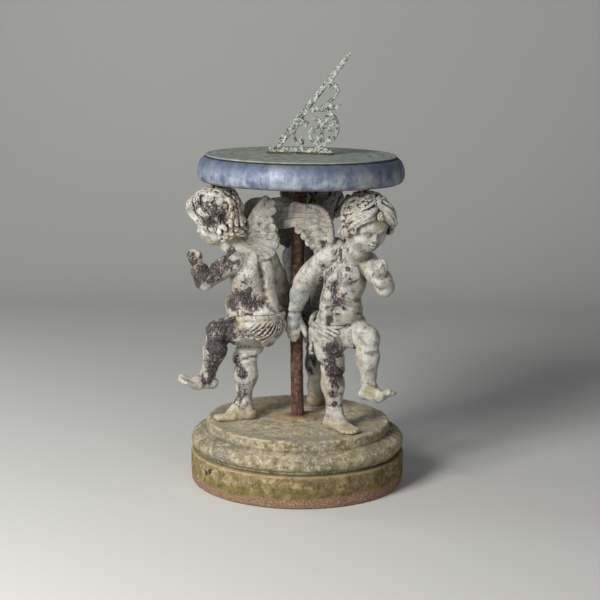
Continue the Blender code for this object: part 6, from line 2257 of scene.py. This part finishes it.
def rod_mortar():
    mat, big, mid, fine, grit = stone(
        "rod_mortar", (0.36, (132, 112, 84)), (0.48, (172, 152, 120)), (0.60, (206, 188, 156))
    )
    darkening = mat.step(mat.add(mid, mat.times(big, 0.4)), 0.62, 0.80)
    mat.coat(darkening, (120, 96, 70), share=0.7)
    near_rod = mat.add(mat.radius(), mat.jitter(mid, 0.03))
    near_rod = mat.step(near_rod, 0.017, 0.040, low=1.0, high=0.0)
    mat.coat(near_rod, (112, 62, 40), share=0.7)
    mat.coat(mat.patches((30, 7, 0.68, 0.4), (0.60, 0.70)), (140, 128, 78), share=0.6)
    height = mat.relief((mid, 1.0), (fine, 0.6), (grit, 0.25))
    return stone_done(mat, height, fine, rough=(0.86, 0.96))


def core_stone():
    mat, big, mid, fine, grit = stone(
        "table_core_stone", (0.32, (96, 92, 84)), (0.50, (130, 124, 112)),
        (0.66, (156, 148, 132)),
    )
    dark = mat.step(mat.add(mid, mat.times(big, 0.5)), 0.66, 0.86)
    mat.coat(dark, (66, 60, 52), share=0.75)
    mat.coat(mat.patches((30, 6, 0.66, 0.6), (0.56, 0.68)), (120, 92, 66), share=0.55)
    height = mat.relief((mid, 1.0), (fine, 0.6), (grit, 0.25))
    return stone_done(mat, height, fine, rough=(0.86, 0.96))


def rust(name, scale=1.0):
    mat = Mat(name)
    mid, fine, grit = mat.noises((90 * scale, 7, 0.7, 0.3), (380 * scale, 6, 0.68), (1300, 3, 0.6))
    mat.colour = mat.ramp(
        mat.relief((mid, 0.5), (fine, 0.5)),
        (0.38, (46, 33, 30)), (0.46, (84, 62, 54)), (0.52, (114, 84, 72)),
        (0.58, (144, 110, 94)), (0.68, (176, 148, 130)),
    )
    streak = mat.patches((1, 6, 0.65, 0.4), (0.50, 0.66), (1.0, 2.0, 3.0), (60, 60, 7))
    mat.coat(streak, (58, 36, 32), share=0.55)
    flake = mat.step(mat.cells(260 * scale), 0.10, 0.34, low=1.0, high=0.0)
    mat.coat(flake, (150, 110, 84), share=0.35)
    dark = mat.patches((170, 5, 0.7), (0.58, 0.66), shift=(4.0, 4.0, 1.0))
    mat.coat(dark, (32, 20, 18), share=0.75)
    return mat.done(
        mat.relief((mid, 1.0), (fine, 0.7), (grit, 0.25), (dark, -0.5)),
        strength=1.0, distance=0.0016, rough=mat.step(fine, 0.3, 0.7, low=0.78, high=0.95),
        metal=0.12, specular=0.25,
    )


def sheet_lead():
    mat = Mat("sheet_lead_weathered")
    big, mid, fine, grit = mat.noises(
        (7, 5, 0.6, 0.5), (38, 7, 0.66, 0.3), (260, 6, 0.66), (1200, 3, 0.6)
    )
    streaks = mat.noise((1, 5, 0.62, 0.2), mat.stretch((85, 85, 8)))
    long_streaks = mat.noise((1, 4, 0.6), mat.stretch((24, 24, 3), (2, 3, 4)))
    tone = mat.relief((mid, 0.58), (streaks, 0.20), (long_streaks, 0.22))
    mat.colour = mat.ramp(
        tone, (0.38, (84, 94, 112)), (0.46, (110, 121, 139)), (0.53, (134, 144, 158)),
        (0.60, (164, 170, 178)), (0.70, (196, 198, 198)),
    )
    warm = mat.step(mat.add(big, mat.times(long_streaks, 0.5)), 0.76, 0.96)
    mat.coat(warm, (184, 172, 162), share=0.50)
    violet = mat.patches((15, 5, 0.6, 0.3), (0.52, 0.68), shift=(5, 1, 2))
    mat.coat(violet, (112, 108, 136), share=0.35)
    spots = mat.patches((210, 5, 0.72), (0.62, 0.68))
    mat.coat(spots, (66, 72, 90), share=0.45)
    # darker near the top, paler below (a painted highlight), dark in the joint (a painted shadow
    # under the plate) and at the lower edge
    upper = mat.step(mat.add(mat.axis("Z"), mat.jitter(mid, 0.03)), 0.758, 0.778)
    mat.coat(upper, (82, 90, 116), share=0.50)
    height = mat.add(mat.axis("Z"), mat.jitter(mid, 0.05))
    # painted highlight: the skirt is made paler low down
    lower = mat.times(
        mat.step(height, 0.742, 0.764, low=1.0, high=0.0),
        mat.step(mat.relief((long_streaks, 0.4), (mid, 0.6)), 0.42, 0.58),
    )
    mat.coat(lower, (198, 198, 200), share=0.26)
    # painted shadow of the plate's edge, along the joint
    mat.coat(mat.step(mat.axis("Z"), 0.7866, 0.7880), (34, 34, 38), share=0.75)
    edge = mat.step(mat.axis("Z"), 0.7300, 0.7385, low=1.0, high=0.0)
    mat.coat(edge, (74, 70, 74), share=mat.step(mid, 0.35, 0.6, low=0.30, high=0.75))
    rough = mat.step(tone, 0.4, 0.65, low=0.60, high=0.44)
    return mat.done(
        mat.relief((mid, 0.7), (fine, 0.4), (grit, 0.12), (streaks, 0.35), (spots, -0.2)),
        strength=0.65, distance=0.0012, rough=mat.add(rough, mat.times(fine, 0.16)),
        metal=0.50, specular=0.4,
    )


def dial_lines(mat, big, mid):
    """Mask of the hour lines and rings, the plate's radius, and the mask of its top."""
    cosine, sine = math.cos(GNOMON_YAW), math.sin(GNOMON_YAW)
    x, y = mat.axis("X"), mat.axis("Y")
    along = mat.add(mat.times(x, cosine), mat.times(y, sine), -STYLE_FOOT / 1000)
    across = mat.add(mat.times(x, -sine), mat.times(y, cosine))
    far = mat.hypot(along, across)
    # the hour angle of each direction, for a level dial at this latitude
    turn = mat.math("ARCTAN2", across, mat.times(along, math.sin(LATITUDE)))
    hour = mat.times(turn, 180.0 / math.pi / 15.0)
    radius = mat.hypot(x, y)
    lines = None
    # hour, half-hour and quarter lines: parts of an hour, half width, inner and outer radius
    for parts, wide, inner, outer in (
        (1.0, 0.00055, 0.060, 0.196), (2.0, 0.00038, 0.166, 0.196),
        (4.0, 0.00030, 0.182, 0.196),
    ):
        near = mat.math("FRACT", mat.math("ADD", mat.times(hour, parts), 0.5))
        near = mat.math("ABSOLUTE", mat.math("SUBTRACT", near, 0.5))
        gap = mat.times(mat.times(near, far), 15.0 * math.pi / 180.0 / parts)
        line = mat.step(gap, wide, wide * 2.4, low=1.0, high=0.0)
        reach = mat.times(
            mat.step(radius, inner, inner + 0.001),
            mat.step(radius, outer, outer + 0.001, low=1.0, high=0.0),
        )
        line = mat.times(line, reach)
        lines = line if lines is None else mat.math("MAXIMUM", lines, line)
    lines = mat.times(lines, mat.step(along, -0.012, -0.010))
    # rings: radius, half width
    for ring, wide in (
        (0.2155, 0.0006), (0.1965, 0.0005), (0.1820, 0.0004), (0.1660, 0.0005),
        (0.1635, 0.0004),
    ):
        gap = mat.math("ABSOLUTE", mat.math("SUBTRACT", radius, ring))
        line = mat.step(gap, wide, wide * 2.0, low=1.0, high=0.0)
        lines = mat.math("MAXIMUM", lines, line)
    up = mat.step(mat.axis("Z"), 0.79330, 0.79345)
    wear = mat.step(mat.add(mid, mat.times(big, 0.4)), 0.62, 0.80, low=1.0, high=0.35)
    return mat.times(mat.times(lines, up), wear), radius, up


def dial_face():
    """Weathered plate, with worn hour lines that run from the style's foot, and rings."""
    mat = Mat("dial_plate_weathered")
    big, mid, fine, grit = mat.noises(
        (8, 5, 0.62, 0.5), (44, 7, 0.68, 0.3), (240, 6, 0.66), (1200, 3, 0.6)
    )
    mat.colour = mat.ramp(
        mid, (0.34, (116, 126, 118)), (0.48, (142, 151, 143)), (0.60, (162, 168, 158)),
        (0.72, (182, 184, 172)),
    )
    brown = mat.step(mat.add(big, mat.times(fine, 0.3)), 0.66, 0.86)
    mat.coat(brown, (124, 112, 90), share=0.5)
    green = mat.patches((20, 6, 0.66, 0.5), (0.54, 0.66), shift=(3, 6, 1))
    mat.coat(green, (112, 136, 118), share=0.45)
    lines, radius, up = dial_lines(mat, big, mid)
    mat.coat(lines, (58, 58, 50), share=0.75)
    rim = mat.times(mat.step(radius, 0.2245, 0.2268), up)
    mat.coat(rim, (180, 184, 178), share=mat.step(fine, 0.4, 0.6, low=0.3, high=0.75))
    # painted shade: the lower part of the plate's edge and its underside darkened
    below = mat.step(mat.axis("Z"), PLATE_LOW, 0.7930, low=1.0, high=0.0)
    mat.coat(below, (70, 70, 64), share=0.7)
    spots = mat.patches((190, 5, 0.72), (0.62, 0.68))
    mat.coat(spots, (84, 82, 68), share=0.5)
    return mat.done(
        mat.relief((mid, 0.5), (fine, 0.4), (grit, 0.15), (lines, -1.1), (spots, -0.2)),
        strength=0.7, distance=0.0009, rough=mat.step(fine, 0.3, 0.7, low=0.62, high=0.84),
        metal=0.25, specular=0.35,
    )


def verdigris():
    mat = Mat("verdigris_bronze_flaking")
    mid, fine, grit = mat.noises((95, 7, 0.72, 0.3), (420, 6, 0.7), (1500, 3, 0.6))
    mat.colour = mat.ramp(
        mat.relief((mid, 0.55), (fine, 0.45)),
        (0.40, (48, 40, 32)), (0.46, (92, 88, 78)), (0.50, (134, 142, 134)),
        (0.545, (176, 186, 180)), (0.62, (226, 230, 224)),
    )
    flakes = mat.patches((250, 6, 0.75, 0.2), (0.545, 0.60), shift=(3, 1, 7))
    mat.coat(flakes, (218, 224, 214), share=0.85)
    bare = mat.patches((150, 6, 0.72, 0.3), (0.55, 0.62), shift=(8, 2, 5))
    mat.coat(bare, (56, 42, 30), share=0.85)
    mat.coat(mat.step(mat.attr("cavity"), 0.15, 0.6), (46, 40, 30), share=0.7)
    return mat.done(
        mat.relief((mid, 0.9), (fine, 0.6), (grit, 0.2), (flakes, 0.4), (bare, -0.5)),
        strength=0.95, distance=0.0012, rough=mat.step(fine, 0.3, 0.7, low=0.66, high=0.9),
        metal=mat.times(bare, 0.4),
    )


def brown_bronze(name):
    mat = Mat(name)
    mid, fine, grit = mat.noises((80, 7, 0.7, 0.3), (360, 6, 0.68), (1300, 3, 0.6))
    mat.colour = mat.ramp(
        mat.relief((mid, 0.5), (fine, 0.5)),
        (0.38, (46, 34, 26)), (0.50, (84, 64, 48)), (0.60, (116, 94, 72)),
        (0.70, (140, 132, 108)),
    )
    green = mat.patches((120, 6, 0.7, 0.2), (0.56, 0.64), shift=(2, 9, 4))
    mat.coat(green, (132, 150, 132), share=0.6)
    return mat.done(
        mat.relief((mid, 0.9), (fine, 0.6), (grit, 0.2)),
        strength=0.8, distance=0.0010, rough=mat.step(fine, 0.3, 0.7, low=0.6, high=0.85),
        metal=0.35,
    )


FINISH = {
    "moulded_base": base_stone(),
    "plinth_disc": plinth_stone(),
    "mortar_bed": rod_mortar(),
}
TABLE_CORE = core_stone()
FINISH["iron_rod"] = rust("rod_rust")
FIXING_RUST = rust("fixing_rust", 1.6)
LEAD = {
    where: cast_lead(f"cast_lead_{where}", seed)
    for where, seed in (("left", 1.0), ("right", 2.0), ("rear", 3.0))
}
FINISH["lead_skirt"] = sheet_lead()
FINISH["engraved_plate"] = dial_face()
FINISH["scroll_gnomon"] = verdigris()
for name, material in FINISH.items():
    bpy.data.objects[name].data.materials.append(material)
for (where, _), obj in PUTTI.items():
    obj.data.materials.append(LEAD[where])

# CAD pieces that are kept, with a material of their own
PIN_BRONZE = brown_bronze("pin_bronze")
CARRIED = {
    "rod_top_flange": FIXING_RUST,
    "dial_table_core": TABLE_CORE,
    "pivot_pin": PIN_BRONZE,
    "gnomon_foot_plate": brown_bronze("foot_plate_bronze"),
}
for k in (1, 2, 3, 4):
    CARRIED[f"flange_screw_{k}"] = FIXING_RUST
    CARRIED[f"gnomon_screw_{k}"] = PIN_BRONZE
for where in PUTTO_ANGLE:
    CARRIED[f"{where}_putto_foot_dowel"] = FIXING_RUST
    CARRIED[f"{where}_putto_head_dowel"] = FIXING_RUST
for node, material in CARRIED.items():
    mesh = NODES[node].data
    mesh.materials.clear()
    mesh.materials.append(material)

# =============================================================== stage
FLOOR_FRONT, FLOOR_BACK, FLOOR_SIDE = -6.0, 2.2, 9.0
COVE_RADIUS, WALL_TOP = 1.2, 3.6
FLOOR_DROP = 0.0006


def pale_floor():
    """A pale floor that curves up into a wall behind the sundial."""
    profile = [(FLOOR_FRONT, 0.0), (FLOOR_BACK, 0.0)]  # y, z
    for k in range(1, 17):
        turn = math.radians(90.0 * k / 16)
        y = FLOOR_BACK + COVE_RADIUS * math.sin(turn)
        profile.append((y, COVE_RADIUS - COVE_RADIUS * math.cos(turn)))
    profile.append((FLOOR_BACK + COVE_RADIUS, WALL_TOP))
    verts = [(x, y, z - FLOOR_DROP) for y, z in profile for x in (-FLOOR_SIDE, FLOOR_SIDE)]
    faces = [(2 * k, 2 * k + 1, 2 * k + 3, 2 * k + 2) for k in range(len(profile) - 1)]
    mesh = bpy.data.meshes.new("floor")
    mesh.from_pydata(verts, [], faces)
    for polygon in mesh.polygons:
        polygon.use_smooth = True
    floor = bpy.data.objects.new("floor", mesh)
    SCENE.collection.objects.link(floor)
    pale = bpy.data.materials.new("pale_floor")
    pale.use_nodes = True
    bsdf = pale.node_tree.nodes["Principled BSDF"]
    bsdf.inputs["Base Color"].default_value = linear((206, 205, 201))
    bsdf.inputs["Roughness"].default_value = 0.9
    mesh.materials.append(pale)


def lamp(name, place, aim, size, watts, colour):
    data = bpy.data.lights.new(name, "AREA")
    data.shape = "RECTANGLE"
    data.size, data.size_y = size
    data.energy = watts
    data.color = colour
    obj = bpy.data.objects.new(name, data)
    obj.location = place
    look = Vector(aim) - Vector(place)
    obj.rotation_euler = look.to_track_quat("-Z", "Y").to_euler()
    SCENE.collection.objects.link(obj)


pale_floor()
lamp("key", place=(-1.75, -2.35, 1.95), aim=(0.0, 0.0, 0.50), size=(1.1, 1.3), watts=128.0,
     colour=(1.0, 0.985, 0.96))
lamp("front_fill", place=(1.5, -3.3, 1.3), aim=(0.05, 0.0, 0.35), size=(1.6, 1.2), watts=22.0,
     colour=(0.97, 0.99, 1.0))
lamp("left_rim", place=(-2.6, 0.7, 1.2), aim=(0.0, 0.0, 0.5), size=(0.8, 1.4), watts=16.0,
     colour=(0.86, 0.95, 1.0))

world = bpy.data.worlds.new("studio")
SCENE.world = world
world.use_nodes = True
background = world.node_tree.nodes["Background"]
background.inputs["Color"].default_value = (0.86, 0.92, 1.0, 1.0)
background.inputs["Strength"].default_value = 0.09
SCENE.view_settings.view_transform = "Standard"

CAMERA_PLACE = (0.0, -3.4488, 1.0877)
CAMERA_DIP = 10.61  # degrees below level
CAMERA_ROLL = 0.0139  # radians
lens = bpy.data.cameras.new("view")
lens.lens = 87.19
lens.sensor_width = 36.0
lens.shift_x = 0.00127
camera = bpy.data.objects.new("view", lens)
SCENE.collection.objects.link(camera)
tilt = Matrix.Rotation(math.radians(90.0 - CAMERA_DIP), 4, "X")
roll = Matrix.Rotation(CAMERA_ROLL, 4, "Z")
camera.matrix_world = Matrix.Translation(CAMERA_PLACE) @ tilt @ roll
SCENE.camera = camera
